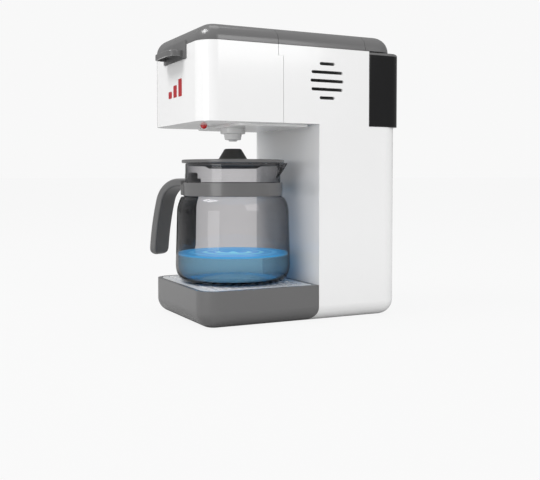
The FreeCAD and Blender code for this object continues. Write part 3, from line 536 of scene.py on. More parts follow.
@dataclass(frozen=True)
class StagePaint:
    """Floor that shows nearly white to the camera and still takes the object's shadow."""

    name: str
    seen: float
    keep: float
    paint: float = 0.45
    grain: float = 0.03

    def material(self) -> bpy.types.Material:
        """Build the material.

        Returns:
            The finished material.
        """
        shader = Shader.of_material(self.name)
        darker, lighter = ((grey, grey, grey) for grey in (self.paint, self.paint + self.grain))
        flat = shader.node("ShaderNodeBsdfDiffuse", {}, {
            "Color": shader.ramp(shader.noise(60.0, detail=2.0), ((0.0, darker), (1.0, lighter)))})
        light = shader.node("ShaderNodeEmission", {}, {
            "Color": (self.seen, self.seen, self.seen, 1.0), "Strength": 1.0})
        shader.finish(shader.mixed(seen_directly(shader) * self.keep, flat, light))
        return shader.owner


def seen_directly(shader: Shader) -> Value:
    """Tell what the camera sees, also through clear pieces, from light and gloss.

    Args:
        shader: The builder that the nodes go to.

    Returns:
        1 for rays that the camera sees by, and 0 for the others.
    """
    rays = shader.node("ShaderNodeLightPath", {}, {})
    direct = Value(shader, rays.outputs["Is Camera Ray"])
    return direct.largest(Value(shader, rays.outputs["Is Transmission Ray"]))


class Slot(Enum):
    """The record's material slots."""

    WHITE = "white_abs"
    GREY = "grey_abs"
    HANDLE = "handle_grey"
    DARK = "dark_abs"
    TANK = "tank_smoke"
    JUG = "jug_smoke"
    LENS = "red_lens"
    SEAL = "seal_rubber"
    TUBE = "tube_clear"
    STEEL = "steel"
    BOARD = "board_green"
    CELL = "cell_jacket"
    CONE = "cone_black"
    MESH = "mesh_white"


@dataclass
class Finishes:
    """Every material, made once and shared."""

    made: dict[Slot, bpy.types.Material] = field(default_factory=dict)

    def __post_init__(self) -> None:
        """Build the materials."""
        recipes = {
            Slot.WHITE: MouldedPlastic(
                "white_gloss", (0.86, 0.86, 0.86), gloss=0.16, mottle=0.004, peel=0.000004,
                peel_scale=300.0, coat=0.3),
            Slot.GREY: MouldedPlastic(
                "grey_satin", (0.132, 0.131, 0.132), gloss=0.24, mottle=0.012, peel=0.000003,
                peel_scale=400.0, grain=0.0000015, coat=0.15),
            Slot.HANDLE: MouldedPlastic(
                "handle_satin", (0.14, 0.14, 0.14), gloss=0.34, mottle=0.015, peel=0.000004,
                peel_scale=500.0, grain=0.000003),
            Slot.DARK: MouldedPlastic(
                "black_plastic", (0.012, 0.012, 0.013), gloss=0.3, mottle=0.1, peel=0.000004),
            Slot.TANK: MouldedPlastic(
                "tank_smoke_gloss", (0.009, 0.009, 0.0095), gloss=0.12, mottle=0.05,
                peel=0.000002, peel_scale=300.0, specular=0.4),
            Slot.JUG: SmokedClear("jug_smoke_clear", (0.99, 0.98, 0.985), density=160.0),
            Slot.LENS: LampLens("lamp_red"),
            Slot.SEAL: MouldedPlastic(
                "seal_rubber", (0.03, 0.03, 0.03), gloss=0.6, mottle=0.1, peel=0.00002),
            Slot.TUBE: MouldedPlastic(
                "tube_milky", (0.62, 0.66, 0.68), gloss=0.2, mottle=0.05),
            Slot.STEEL: PlainMetal("plated_steel"),
            Slot.BOARD: BoardGreen("board_lacquer"),
            Slot.CELL: MouldedPlastic("cell_jacket", (0.10, 0.10, 0.12), gloss=0.3, mottle=0.1),
            Slot.CONE: MouldedPlastic(
                "speaker_cone", (0.05, 0.05, 0.05), gloss=0.7, mottle=0.2, peel=0.00005,
                peel_scale=2000.0),
            Slot.MESH: MouldedPlastic(
                "filter_mesh", (0.75, 0.75, 0.74), gloss=0.4, mottle=0.05, peel=0.00002,
                peel_scale=3000.0),
        }
        self.made = {slot: recipe.material() for slot, recipe in recipes.items()}

    def __getitem__(self, slot: Slot) -> bpy.types.Material:
        """The material of one slot."""
        return self.made[slot]


# Mesh tools

@dataclass
class Workshop:
    """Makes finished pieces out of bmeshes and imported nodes."""

    finishes: Finishes
    weld: float = 0.002 * MM
    sliver: float = 0.001 * MM
    flat: float = 0.6

    def piece(self, name: str, bm: BMesh, body: str, slot: Slot, stands_for: Sequence[str] = (),
              crease: float = 32.0, finish: Finish | None = None) -> None:
        """Turn a bmesh into a piece that rides on a body.

        Args:
            name: The piece's name.
            bm: Its mesh, in place, which is freed.
            body: The body that it moves with.
            slot: The record's material slot.
            stands_for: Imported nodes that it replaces.
            crease: Edges sharper than this many degrees stay sharp.
            finish: A finish of its own, or None for the slot's.
        """
        limit = math.radians(crease)
        for edge in bm.edges:
            edge.smooth = edge.is_manifold and edge.calc_face_angle(0.0) < limit
        for face in bm.faces:
            face.smooth = True
        mesh = bpy.data.meshes.new(name)
        bm.to_mesh(mesh)
        bm.free()
        made = bpy.data.objects.new(name, mesh)
        bpy.context.scene.collection.objects.link(made)
        mesh.materials.append(finish.material() if finish else self.finishes[slot])
        even = made.modifiers.new("even_normals", "WEIGHTED_NORMAL")
        even.keep_sharp = True
        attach(made, body)
        if stands_for:
            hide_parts(*stands_for)
        log.info("piece %s on %s, %d faces", name, body, len(mesh.polygons))

    def dress(self, node: str, slot: Slot, finish: Finish | None = None) -> None:
        """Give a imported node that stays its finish.

        Args:
            node: The node's name.
            slot: Its material slot.
            finish: A finish of its own, or None for the slot's.
        """
        kept = frame["nodes"][node]
        kept.data.materials.clear()
        kept.data.materials.append(finish.material() if finish else self.finishes[slot])
        log.info("dressed %s in %s", node, slot.value)

    def copied(self, node: str) -> BMesh:
        """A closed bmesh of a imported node, with its flat faces joined up.

        Args:
            node: The node's name.

        Returns:
            The new bmesh.
        """
        bm = bmesh.new()
        bm.from_mesh(frame["nodes"][node].data)
        bmesh.ops.remove_doubles(bm, verts=bm.verts, dist=self.weld)
        bmesh.ops.dissolve_degenerate(bm, dist=self.sliver, edges=bm.edges)
        bmesh.ops.dissolve_limit(bm, angle_limit=math.radians(self.flat), verts=bm.verts,
                                 edges=bm.edges, delimit={"NORMAL"})
        return bm

    def softened(self, node: str, slot: Slot, width: float, keen: float = 38.0) -> None:
        """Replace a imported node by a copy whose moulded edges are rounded.

        Args:
            node: The node's name.
            slot: Its material slot.
            width: Width of the rounding.
            keen: Edges sharper than this many degrees are rounded.
        """
        bm = self.copied(node)
        round_edges(bm, width, keen, segments=2)
        self.piece(node + "_form", bm, frame["nodes"][node]["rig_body"], slot, (node,))


def bevel(bm: BMesh, geom: Sequence[Any], width: float, segments: int,
          affect: str = "EDGES") -> None:
    """Round chosen edges or corners.

    Args:
        bm: The mesh.
        geom: The edges or corners.
        width: Width of the bevel.
        segments: Steps across it.
        affect: "EDGES" or "VERTICES".
    """
    bmesh.ops.bevel(bm, geom=geom, offset=width, offset_type="OFFSET", segments=segments,
                    profile=0.5, affect=affect, clamp_overlap=True, material=-1)


def round_edges(bm: BMesh, width: float, keen: float, segments: int) -> None:
    """Bevel every edge that is sharper than an angle.

    Args:
        bm: The mesh.
        width: Width of the bevel.
        keen: Angle in degrees.
        segments: Steps across the bevel.
    """
    limit = math.radians(keen)
    found = [edge for edge in bm.edges
             if edge.is_manifold and edge.calc_face_angle(0.0) > limit]
    if found:
        bevel(bm, found, width, segments)


def spun(bm: BMesh, geom: Sequence[Any], hub: Vector, axis: Vector, angle: float, steps: int,
         merge: bool = False) -> list[Any]:
    """Sweep a shape about an axis.

    Args:
        bm: The mesh that holds it.
        geom: The shape.
        hub: Any point of the axis.
        axis: Its direction.
        angle: How far it is swept, in radians.
        steps: Steps along the sweep.
        merge: Whether the end is joined to the start.

    Returns:
        The shape at the end of the sweep.
    """
    made = bmesh.ops.spin(bm, geom=geom, cent=hub, axis=axis, dvec=ORIGIN, angle=angle,
                          steps=steps, use_merge=merge, use_duplicate=False)
    return made["geom_last"]


def turned(outline: Sequence[tuple[float, float]], centre: Vector, steps: int,
           closed: bool = True) -> BMesh:
    """Spin an outline about an upright axis.

    Args:
        outline: Points as (radius, height).
        centre: Any point of the axis.
        steps: Steps round.
        closed: Whether the last point joins the first.

    Returns:
        The new bmesh.
    """
    bm = bmesh.new()
    points = [bm.verts.new((centre.x + radius, centre.y, height)) for radius, height in outline]
    rim = [bm.edges.new(pair) for pair in zip(points, points[1:])]
    if closed:
        rim.append(bm.edges.new((points[-1], points[0])))
    spun(bm, points + rim, centre, UP, FULL_TURN, steps, merge=True)
    bmesh.ops.remove_doubles(bm, verts=bm.verts, dist=SEAM)
    bmesh.ops.recalc_face_normals(bm, faces=bm.faces)
    return bm


def cuboid(bm: BMesh, middle: Vector, size: Vector) -> list[BMVert]:
    """Add a plain block and return its corners."""
    place = Matrix.Translation(middle) @ Matrix.Diagonal((*size, 1.0))
    return bmesh.ops.create_cube(bm, size=1.0, matrix=place)["verts"]


def arc(centre: tuple[float, float], radius: float, start: float, end: float,
        steps: int) -> Outline:
    """Points of a round stretch of an outline.

    Args:
        centre: Its centre.
        radius: Its radius.
        start: First angle in degrees.
        end: Last angle in degrees.
        steps: Steps between them.

    Returns:
        The points.
    """
    angles = [math.radians(start + (end - start) * step / steps) for step in range(steps + 1)]
    return [(centre[0] + radius * math.cos(turn), centre[1] + radius * math.sin(turn))
            for turn in angles]


def quarter(first: tuple[float, float], last: tuple[float, float], bulge_first: bool,
            steps: int) -> Outline:
    """Points of a quarter ellipse between two points of an outline.

    Args:
        first: Where it starts.
        last: Where it ends.
        bulge_first: True where it leaves along the radius, False where it leaves upright.
        steps: Steps along it.

    Returns:
        The points.
    """
    wide, tall = last[0] - first[0], last[1] - first[1]
    made = []
    for step in range(steps + 1):
        turn = math.pi / 2.0 * step / steps
        slow, fast = 1.0 - math.cos(turn), math.sin(turn)
        share_r, share_z = (fast, slow) if bulge_first else (slow, fast)
        made.append((first[0] + wide * share_r, first[1] + tall * share_z))
    return made


# White body, grey lid and base

@dataclass
class Housing:
    """Body halves, head, lid, base and what is screwed to them."""

    shop: Workshop
    edge: float = 0.25 * MM

    def build(self) -> None:
        """Round the moulded edges of the large mouldings and dress the rest."""
        for node in ("body_left_shell", "body_right_shell", "brew_head_front", "outlet_plate"):
            self.shop.softened(node, Slot.WHITE, self.edge)
        for node in ("top_cover", "front_lid", "rear_flap", "front_base"):
            self.shop.softened(node, Slot.GREY, self.edge)
        self.shop.softened("drip_grid", Slot.WHITE, self.edge)
        self.shop.dress("bottom_cover", Slot.GREY)
        self.shop.dress("battery_door", Slot.GREY)
        for node in ("base_screws", "housing_screws", "battery_door_screw", "front_lid_pin",
                     "rear_flap_pin"):
            self.shop.dress(node, Slot.STEEL)


@dataclass
class Workings:
    """What the housing holds: filter, pump, tubes, boards, cells and loudspeaker."""

    shop: Workshop

    def build(self) -> None:
        """Dress every inner node."""
        inner = {
            Slot.GREY: ("filter_deck",),
            Slot.DARK: ("filter_basket", "water_pump", "switch_housing", "power_switch"),
            Slot.MESH: ("filter_mesh",),
            Slot.TUBE: ("inlet_tube", "outlet_tube"),
            Slot.SEAL: ("tank_socket",),
            Slot.BOARD: ("circuit_board", "switch_board"),
            Slot.CELL: ("batteries",),
            Slot.STEEL: ("battery_contacts", "button_spring"),
            Slot.CONE: ("speaker",),
            Slot.LENS: ("led_lamp",),
        }
        for slot, nodes in inner.items():
            for node in nodes:
                self.shop.dress(node, slot)


@dataclass
class Tank:
    """Smoked water tank with its grey rim."""

    shop: Workshop
    edge: float = 0.3 * MM

    def build(self) -> None:
        """Round the edges of both mouldings."""
        self.shop.softened("water_tank", Slot.TANK, self.edge)
        self.shop.softened("tank_rim", Slot.GREY, self.edge)


@dataclass
class Outlet:
    """Nozzle, signal lamp and start button."""

    shop: Workshop
    nozzle_radius: float = 11.0 * MM
    nozzle_mouth: float = 8.0 * MM
    mouth_draft: float = 0.9 * MM
    nozzle_draft: float = 0.4 * MM
    nozzle_edge: float = 0.5 * MM
    upper_tier: float = 5.2 * MM
    seat_step: float = 0.1 * MM
    flange_lift: float = 4.3 * MM
    flange_reach: float = 2.0 * MM
    flange_thick: float = 1.5 * MM
    pipe_radius: float = 7.0 * MM
    drip_bore: float = 1.5 * MM
    drip_radius: float = 4.0 * MM
    drip_height: float = 1.3 * MM
    lens_radius: float = 3.1 * MM
    lens_flange: float = 1.3 * MM
    lens_flange_thick: float = 1.0 * MM
    button_radius: float = 8.0 * MM
    button_edge: float = 0.8 * MM
    button_flange: float = 1.6 * MM
    button_flange_thick: float = 1.1 * MM
    button_flange_drop: float = 2.3 * MM
    button_stem: float = 2.0 * MM
    button_dish: float = 0.6 * MM
    dish_rim: float = 2.0 * MM
    dish_slope: float = 2.0 * MM
    dish_share: float = 0.7

    def build(self) -> None:
        """Build the pieces."""
        self._nozzle()
        self._lens()
        self._button()

    def _nozzle(self) -> None:
        """Stepped white nozzle under the head, with its drip tip."""
        low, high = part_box("nozzle")
        plate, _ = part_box("outlet_plate")
        lid_low, lid_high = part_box("jug_lid")
        centre = Vector((0.0, (lid_low.y + lid_high.y) / 2.0, 0.0))
        radius = self.nozzle_radius
        brim = radius + self.flange_reach
        tip = low.z + self.drip_height
        step = plate.z - self.upper_tier
        flange = plate.z + self.flange_lift
        flange_top = flange + self.flange_thick
        bm = turned((
            (self.drip_bore, low.z), (self.drip_radius - self.nozzle_draft, low.z),
            (self.drip_radius, tip), (self.nozzle_mouth - self.mouth_draft, tip),
            (self.nozzle_mouth, step), (radius, step + self.nozzle_draft),
            (radius + self.nozzle_draft, plate.z), (radius, plate.z + self.seat_step),
            (radius, flange), (brim, flange), (brim, flange_top), (self.pipe_radius, flange_top),
            (self.pipe_radius, high.z), (self.drip_bore, high.z)), centre, steps=96)
        round_edges(bm, self.nozzle_edge, keen=40.0, segments=3)
        self.shop.piece("nozzle_form", bm, "machine", Slot.WHITE, ("nozzle",))

    def _lens(self) -> None:
        """Domed red lens, seated in the head's floor."""
        low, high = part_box("led_lens")
        radius = self.lens_radius
        brim = radius + self.lens_flange
        flange = high.z - self.lens_flange_thick
        outline = arc((0.0, low.z + radius), radius, -90.0, 0.0, steps=8)
        outline += [(radius, flange), (brim, flange), (brim, high.z), (0.0, high.z)]
        bm = turned(outline, (low + high) / 2.0, steps=48, closed=False)
        self.shop.piece("led_lens_form", bm, "machine", Slot.LENS, ("led_lens",))

    def _button(self) -> None:
        """Round start button with a dished top."""
        low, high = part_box("start_button")
        radius, edge = self.button_radius, self.button_edge
        brim = radius + self.button_flange
        flange_top = high.z - self.button_flange_drop
        flange = flange_top - self.button_flange_thick
        dish = radius - self.dish_rim
        outline = [(0.0, low.z), (self.button_stem, low.z), (self.button_stem, flange),
                   (brim, flange), (brim, flange_top), (radius, flange_top)]
        outline += arc((radius - edge, high.z - edge), edge, 0.0, 90.0, steps=5)
        outline += [(dish, high.z),
                    (dish - self.dish_slope, high.z - self.button_dish * self.dish_share),
                    (0.0, high.z - self.button_dish)]
        bm = turned(outline, (low + high) / 2.0, steps=64, closed=False)
        self.shop.piece("start_button_form", bm, "start_button", Slot.DARK, ("start_button",))


# Jug

@dataclass
class JugForm:
    """Sizes, place and outline that the jug's pieces share."""

    wall: float = 2.0 * MM
    radius: float = 51.5 * MM
    foot_inset: float = 9.5 * MM
    foot_height: float = 15.0 * MM
    foot_thick: float = 2.8 * MM
    taper: float = 1.3 * MM
    shoulder_drop: float = 15.3 * MM
    neck: float = 42.6 * MM
    play: float = 0.1 * MM
    handle_angle: float = -146.8
    handle_width: float = 22.0 * MM
    centre: Vector = field(init=False)
    foot_z: float = field(init=False)
    rim_z: float = field(init=False)
    neck_z: float = field(init=False)
    collar_top: float = field(init=False)

    def __post_init__(self) -> None:
        """Read the jug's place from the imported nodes."""
        lid_low, lid_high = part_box("jug_lid")
        glass_low, glass_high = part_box("jug_glass")
        collar_low, collar_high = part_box("jug_collar")
        self.centre = Vector((0.0, (lid_low.y + lid_high.y) / 2.0, 0.0))
        self.foot_z = glass_low.z
        self.rim_z = glass_high.z
        self.neck_z = collar_low.z - self.play
        self.collar_top = collar_high.z

    def outline(self, inset: float, floor: float) -> Outline:
        """Outline from the foot up to the neck.

        Args:
            inset: How far it is drawn in from the outside wall.
            floor: Height of its lowest point.

        Returns:
            Points as (radius, height), from the foot upwards.
        """
        foot = self.radius - self.foot_inset - inset
        side = self.radius - inset
        low = self.foot_z + self.foot_height
        high = self.neck_z - self.shoulder_drop
        made = quarter((foot, floor), (side, low), True, 8)
        made += [(side - self.taper * share, low + (high - low) * share) for share in (0.33, 0.66)]
        made += quarter((side - self.taper, high), (self.neck - inset, self.neck_z), False, 8)
        return made

    def handle_frame(self) -> Matrix:
        """Turns a shape drawn along +X at the origin to the handle's side of the jug."""
        turn = Matrix.Rotation(math.radians(self.handle_angle), 4, "Z")
        return Matrix.Translation(self.centre) @ turn


@dataclass
class Glass:
    """Blown wall with a thick foot, rounded rim and pouring spout."""

    shop: Workshop
    form: JugForm
    foot_ring: float = 8.0 * MM
    foot_draft: float = 0.4 * MM
    foot_hollow: float = 0.8 * MM
    spout_angle: float = 33.2
    spout_half: float = 17.0
    spout_reach: float = 13.8 * MM
    spout_height: float = 14.6 * MM
    spout_keel: float = 1.15
    spout_belly: float = 0.65
    spout_bore: float = 0.8

    def build(self) -> None:
        """Turn the wall and draw its spout."""
        form = self.form
        ring = form.radius - form.foot_inset - self.foot_ring
        hollow = form.foot_z + self.foot_hollow
        inside = form.foot_z + form.foot_thick
        half = form.wall / 2.0
        root = form.rim_z - self.spout_height
        heights = [root + self.spout_height * share for share in (0.0, 0.25, 0.5, 0.75)]
        outline = [(0.0, hollow), (ring, hollow), (ring - self.foot_draft, form.foot_z)]
        outline += form.outline(0.0, form.foot_z)
        outline += [(form.neck, height) for height in heights]
        outline += arc((form.neck - half, form.rim_z - half), half, 0.0, 180.0, steps=8)
        outline += [(form.neck - form.wall, height) for height in reversed(heights)]
        outline += reversed(form.outline(form.wall, inside))
        outline.append((0.0, inside))
        bm = turned(outline, form.centre, steps=160, closed=False)
        self._pull_spout(bm)
        self.shop.piece("jug_wall", bm, "jug", Slot.JUG, ("jug_glass",), crease=60.0)

    def _pull_spout(self, bm: BMesh) -> None:
        """Draw the spout out of the neck wall.

        Args:
            bm: The jug's wall, inside and outside.
        """
        form = self.form
        root = form.rim_z - self.spout_height
        half = math.radians(self.spout_half)
        aim = math.radians(self.spout_angle)
        core = form.neck * 0.8
        inside = form.neck - form.wall * 0.75
        for vert in bm.verts:
            away = vert.co - form.centre
            flat = Vector((away.x, away.y, 0.0))
            if vert.co.z <= root or flat.length < core:
                continue
            turn = abs((math.atan2(flat.y, flat.x) - aim + math.pi) % FULL_TURN - math.pi)
            share = max(0.0, 1.0 - turn / half) ** self.spout_keel
            rise = ((vert.co.z - root) / self.spout_height) ** self.spout_belly
            push = self.spout_reach * share * rise
            if flat.length < inside:
                push *= self.spout_bore
            vert.co += flat.normalized() * push


@dataclass
class Collar:
    """Grey band round the neck, open where the handle's root sits."""

    shop: Workshop
    form: JugForm
    thick: float = 1.8 * MM
    root_play: float = 0.2 * MM
    edge: float = 0.45 * MM

    def build(self) -> None:
        """Sweep the band's section from one side of the handle to the other."""
        form = self.form
        inside = form.neck + form.play
        outside = inside + self.thick
        low, high = form.neck_z + form.play, form.collar_top
        gap = math.asin((form.handle_width / 2.0 + self.root_play) / inside)
        start = math.radians(form.handle_angle) + gap
        aim = Vector((math.cos(start), math.sin(start), 0.0))
        corners = ((inside, low), (outside, low), (outside, high), (inside, high))
        bm = bmesh.new()
        section = bm.faces.new([bm.verts.new(form.centre + aim * reach + UP * height)
                                for reach, height in corners])
        spun(bm, [section], form.centre, UP, FULL_TURN - 2.0 * gap, steps=120)
        bmesh.ops.recalc_face_normals(bm, faces=bm.faces)
        round_edges(bm, self.edge, keen=50.0, segments=3)
        self.shop.piece("jug_collar_band", bm, "jug", Slot.GREY, ("jug_collar",))


@dataclass
class Handle:
    """Strap handle swept through its bend, with its root block and upstand."""

    shop: Workshop
    form: JugForm
    thick: float = 7.3 * MM
    corner: float = 2.0 * MM
    root_gap: float = 0.35 * MM
    arm: float = 11.4 * MM
    drop: float = 13.5 * MM
    bend: float = 22.5 * MM
    lean: float = 15.0
    flare: float = 4.0
    grip_bend: float = 254.0 * MM
    tip_corner: float = 7.0 * MM
    tip_steps: int = 6
    tip_open: float = 0.6
    block_reach: float = 8.0 * MM
    block_lift: float = 0.3 * MM
    block_edge: float = 1.0 * MM
    upstand_reach: float = 6.5 * MM
    upstand_half: float = 7.0 * MM
    upstand_root: float = 3.0 * MM
    upstand_height: float = 9.0 * MM
    upstand_edge: float = 2.0 * MM

    def build(self) -> None:
        """Sweep the strap, then add its blocks."""
        form = self.form
        half = self.thick / 2.0
        top = form.rim_z - self.drop - half
        start_x = form.neck + self.root_gap
        bend_x = form.neck + self.arm
        lean, flare = math.radians(self.lean), math.radians(self.flare)
        hub = Vector((bend_x, 0.0, top - self.bend))
        far = hub - Vector((math.cos(lean), 0.0, math.sin(lean))) * (self.grip_bend - self.bend)
        ahead = Vector((math.sin(flare), 0.0, -math.cos(flare)))
        bm = bmesh.new()
        end = self._section(bm, start_x, top)
        end = self._pushed(bm, end, Vector((bend_x - start_x, 0.0, 0.0)))
        end = self._bent(bm, end, hub, math.pi / 2.0 - lean, steps=14)
        end = self._bent(bm, end, far, lean - flare, steps=40)
        self._round_tip(bm, end, ahead)
        self._round_corners(bm, ahead)
        bmesh.ops.recalc_face_normals(bm, faces=bm.faces)
        self._add_block(bm, (start_x, form.neck + self.block_reach), form.handle_width / 2.0,
                        (form.neck_z + self.block_lift, top + half - self.block_edge),
                        self.block_edge)
        self._add_block(bm, (start_x, form.neck + self.upstand_reach), self.upstand_half,
                        (form.collar_top - self.upstand_root,
                         form.collar_top + self.upstand_height), self.upstand_edge)
        bm.transform(form.handle_frame())
        self.shop.piece("jug_handle_strap", bm, "jug", Slot.HANDLE, ("jug_handle",), crease=40.0)

    def _section(self, bm: BMesh, reach: float, height: float) -> BMFace:
        """Draw the strap's rounded section.

        Args:
            bm: The handle's mesh.
            reach: Its place along +X.
            height: Height of its middle.

        Returns:
            The section's face.
        """
        half_w, half_t = self.form.handle_width / 2.0, self.thick / 2.0
        corners = ((-half_w, -half_t), (half_w, -half_t), (half_w, half_t), (-half_w, half_t))
        section = bm.faces.new([bm.verts.new((reach, across, height + rise))
                                for across, rise in corners])
        bevel(bm, list(section.verts), self.corner, segments=4, affect="VERTICES")
        bm.faces.ensure_lookup_table()
        return bm.faces[0]

    @staticmethod
    def _pushed(bm: BMesh, end: BMFace, step: Vector) -> BMFace:
        """Extrude an end face.

        Args:
            bm: The handle's mesh.
            end: The face.
            step: How far, and which way.

        Returns:
            The new end face.
        """
        made = bmesh.ops.extrude_face_region(bm, geom=[end])
        face = next(item for item in made["geom"] if isinstance(item, BMFace))
        bmesh.ops.translate(bm, verts=face.verts, vec=step)
        return face

    @staticmethod
    def _bent(bm: BMesh, end: BMFace, hub: Vector, angle: float, steps: int) -> BMFace:
        """Spin an end face about a hub across the handle's plane and return the new end."""
        last = spun(bm, [end], hub, Vector((0.0, 1.0, 0.0)), angle, steps)
        return next(item for item in last if isinstance(item, BMFace))

    def _round_tip(self, bm: BMesh, end: BMFace, ahead: Vector) -> None:
        """Close the strap with a rounded tip.

        Args:
            bm: The strap.
            end: Its end face.
            ahead: Direction out of the strap.
        """
        across = ahead.cross(Vector((0.0, 1.0, 0.0))).normalized()
        before, width = 0.0, 1.0
        for step in range(1, self.tip_steps + 1):
            turn = math.pi / 2.0 * step / (self.tip_steps + self.tip_open)
            along = self.thick / 2.0 * math.sin(turn)
            end = self._pushed(bm, end, ahead * (along - before))
            narrow = math.cos(turn) / width
            before, width = along, math.cos(turn)
            middle = end.calc_center_median()
            for vert in end.verts:
                vert.co -= across * (vert.co - middle).dot(across) * (1.0 - narrow)

    def _round_corners(self, bm: BMesh, ahead: Vector) -> None:
        """Draw the strap's sides in towards its tip.

        Args:
            bm: The strap.
            ahead: Direction out of the strap.
        """
        tip = max(vert.co.dot(ahead) for vert in bm.verts)
        corner, half = self.tip_corner, self.form.handle_width / 2.0
        for vert in bm.verts:
            back = tip - vert.co.dot(ahead)
            if back < corner:
                inset = corner - math.sqrt(corner ** 2 - (corner - back) ** 2)
                vert.co.y *= 1.0 - inset / half

    @staticmethod
    def _add_block(bm: BMesh, reach: tuple[float, float], half: float,
                   heights: tuple[float, float], edge: float) -> None:
        """Add a block with rounded edges to the handle.

        Args:
            bm: The handle's mesh.
            reach: Its start and end along +X.
            half: Half its width.
            heights: Its lowest and highest point.
            edge: Radius of its edges.
        """
        size = Vector((reach[1] - reach[0], 2.0 * half, heights[1] - heights[0]))
        middle = Vector((sum(reach) / 2.0, 0.0, sum(heights) / 2.0))
        edges = {item for vert in cuboid(bm, middle, size) for item in vert.link_edges}
        bevel(bm, list(edges), edge, segments=3)


@dataclass
class BackPlate:
    """Dark plate behind the handle that follows the jug's wall."""

    shop: Workshop
    form: JugForm
    thick: float = 3.5 * MM
    half: float = 12.8 * MM
    corner: float = 7.0 * MM
    gap: float = 0.15 * MM
    slack: float = 0.2 * MM
    toe: float = 0.12
    edge: float = 0.8 * MM
    weld: float = 0.001 * MM

    def build(self) -> None:
        """Sweep the wall's outline behind the handle and give it its thickness."""
        form = self.form
        low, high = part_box("handle_back_plate")
        outline = [(form.radius - form.taper * self.toe, low.z)]
        outline += [point for point in form.outline(-self.gap, form.foot_z)
                    if low.z - self.slack <= point[1] <= high.z + self.slack]
        sweep = 2.0 * self.half / form.radius
        bm = bmesh.new()
        chain = [bm.verts.new((reach + self.gap, 0.0, height)) for reach, height in outline]
        rim = [bm.edges.new(pair) for pair in zip(chain, chain[1:])]
        start = Matrix.Rotation(-sweep / 2.0, 3, "Z")
        bmesh.ops.rotate(bm, verts=chain, cent=ORIGIN, matrix=start)
        spun(bm, chain + rim, ORIGIN, UP, sweep, steps=24)
        bmesh.ops.recalc_face_normals(bm, faces=bm.faces)
        self._round_corners(bm, low.z)
        bmesh.ops.remove_doubles(bm, verts=bm.verts, dist=self.weld)
        if sum(face.normal.x for face in bm.faces) < 0.0:
            bmesh.ops.reverse_faces(bm, faces=bm.faces)
        bmesh.ops.solidify(bm, geom=bm.faces, thickness=-self.thick)
        bmesh.ops.recalc_face_normals(bm, faces=bm.faces)
        round_edges(bm, self.edge, keen=50.0, segments=3)
        bm.transform(form.handle_frame())
        self.shop.piece("handle_plate", bm, "jug", Slot.DARK, ("handle_back_plate",))

    def _round_corners(self, bm: BMesh, low: float) -> None:
        """Lift the sheet's lower corners into quarter circles.

        Args:
            bm: The sheet, before it has a thickness.
            low: Height of its lower edge.
        """
        for vert in bm.verts:
            along = abs(math.atan2(vert.co.y, vert.co.x)) * self.form.radius
            beyond = along - self.half + self.corner
            if beyond > 0.0:
                rise = self.corner - math.sqrt(max(0.0, self.corner ** 2 - beyond ** 2))
                vert.co.z = max(vert.co.z, low + rise)


@dataclass
class JugLid:
    """Lid disc with its skirt, dark knob and the plug under it."""

    shop: Workshop
    form: JugForm
    hole: float = 4.0 * MM
    disc: float = 45.8 * MM
    disc_edge: float = 0.7 * MM
    plug_depth: float = 4.9 * MM
    skirt_play: float = 0.4 * MM
    skirt_thick: float = 1.5 * MM
    knob_foot: float = 12.9 * MM
    knob_brim: float = 0.8 * MM
    knob_shoulder: float = 7.8 * MM
    knob_crown: float = 6.9 * MM
    knob_drop: float = 0.7 * MM
    knob_edge: float = 0.35 * MM
    plug_top: float = 31.0 * MM
    plug_foot: float = 21.5 * MM
    plug_edge: float = 0.5 * MM

    def build(self) -> None:
        """Turn the three pieces."""
        low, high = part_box("jug_lid")
        _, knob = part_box("lid_knob")
        plug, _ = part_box("lid_plug")
        centre, hole = self.form.centre, self.hole
        under = plug.z + self.plug_depth
        skirt = self.form.neck - self.form.wall - self.skirt_play
        inner = skirt - self.skirt_thick
        bm = turned(((hole, under), (inner, under), (inner, low.z), (skirt, low.z), (skirt, under),
                     (self.disc, under), (self.disc, high.z), (hole, high.z)), centre,
                    steps=128)
        round_edges(bm, self.disc_edge, keen=40.0, segments=3)
        self.shop.piece("jug_lid_disc", bm, "jug_lid", Slot.GREY, ("jug_lid",))
        bm = turned(((hole, high.z), (self.knob_foot, high.z),
                     (self.knob_foot, high.z + self.knob_brim),
                     (self.knob_shoulder, knob.z - self.knob_drop),
                     (self.knob_crown, knob.z), (hole, knob.z)), centre, steps=64)
        round_edges(bm, self.knob_edge, keen=30.0, segments=3)
        self.shop.piece("lid_knob_cone", bm, "jug_lid", Slot.HANDLE, ("lid_knob",),
                        finish=MouldedPlastic("knob_satin", (0.036, 0.036, 0.035), gloss=0.38))
        bm = turned(((hole, under), (self.plug_top, under), (self.plug_foot, plug.z),
                     (hole, plug.z)), centre, steps=96)
        round_edges(bm, self.plug_edge, keen=30.0, segments=2)
        self.shop.piece("lid_plug_cone", bm, "jug_lid", Slot.DARK, ("lid_plug",),
                        finish=MouldedPlastic("plug_black", (0.01, 0.01, 0.01), gloss=0.65,
                                              mottle=0.05, specular=0.1))


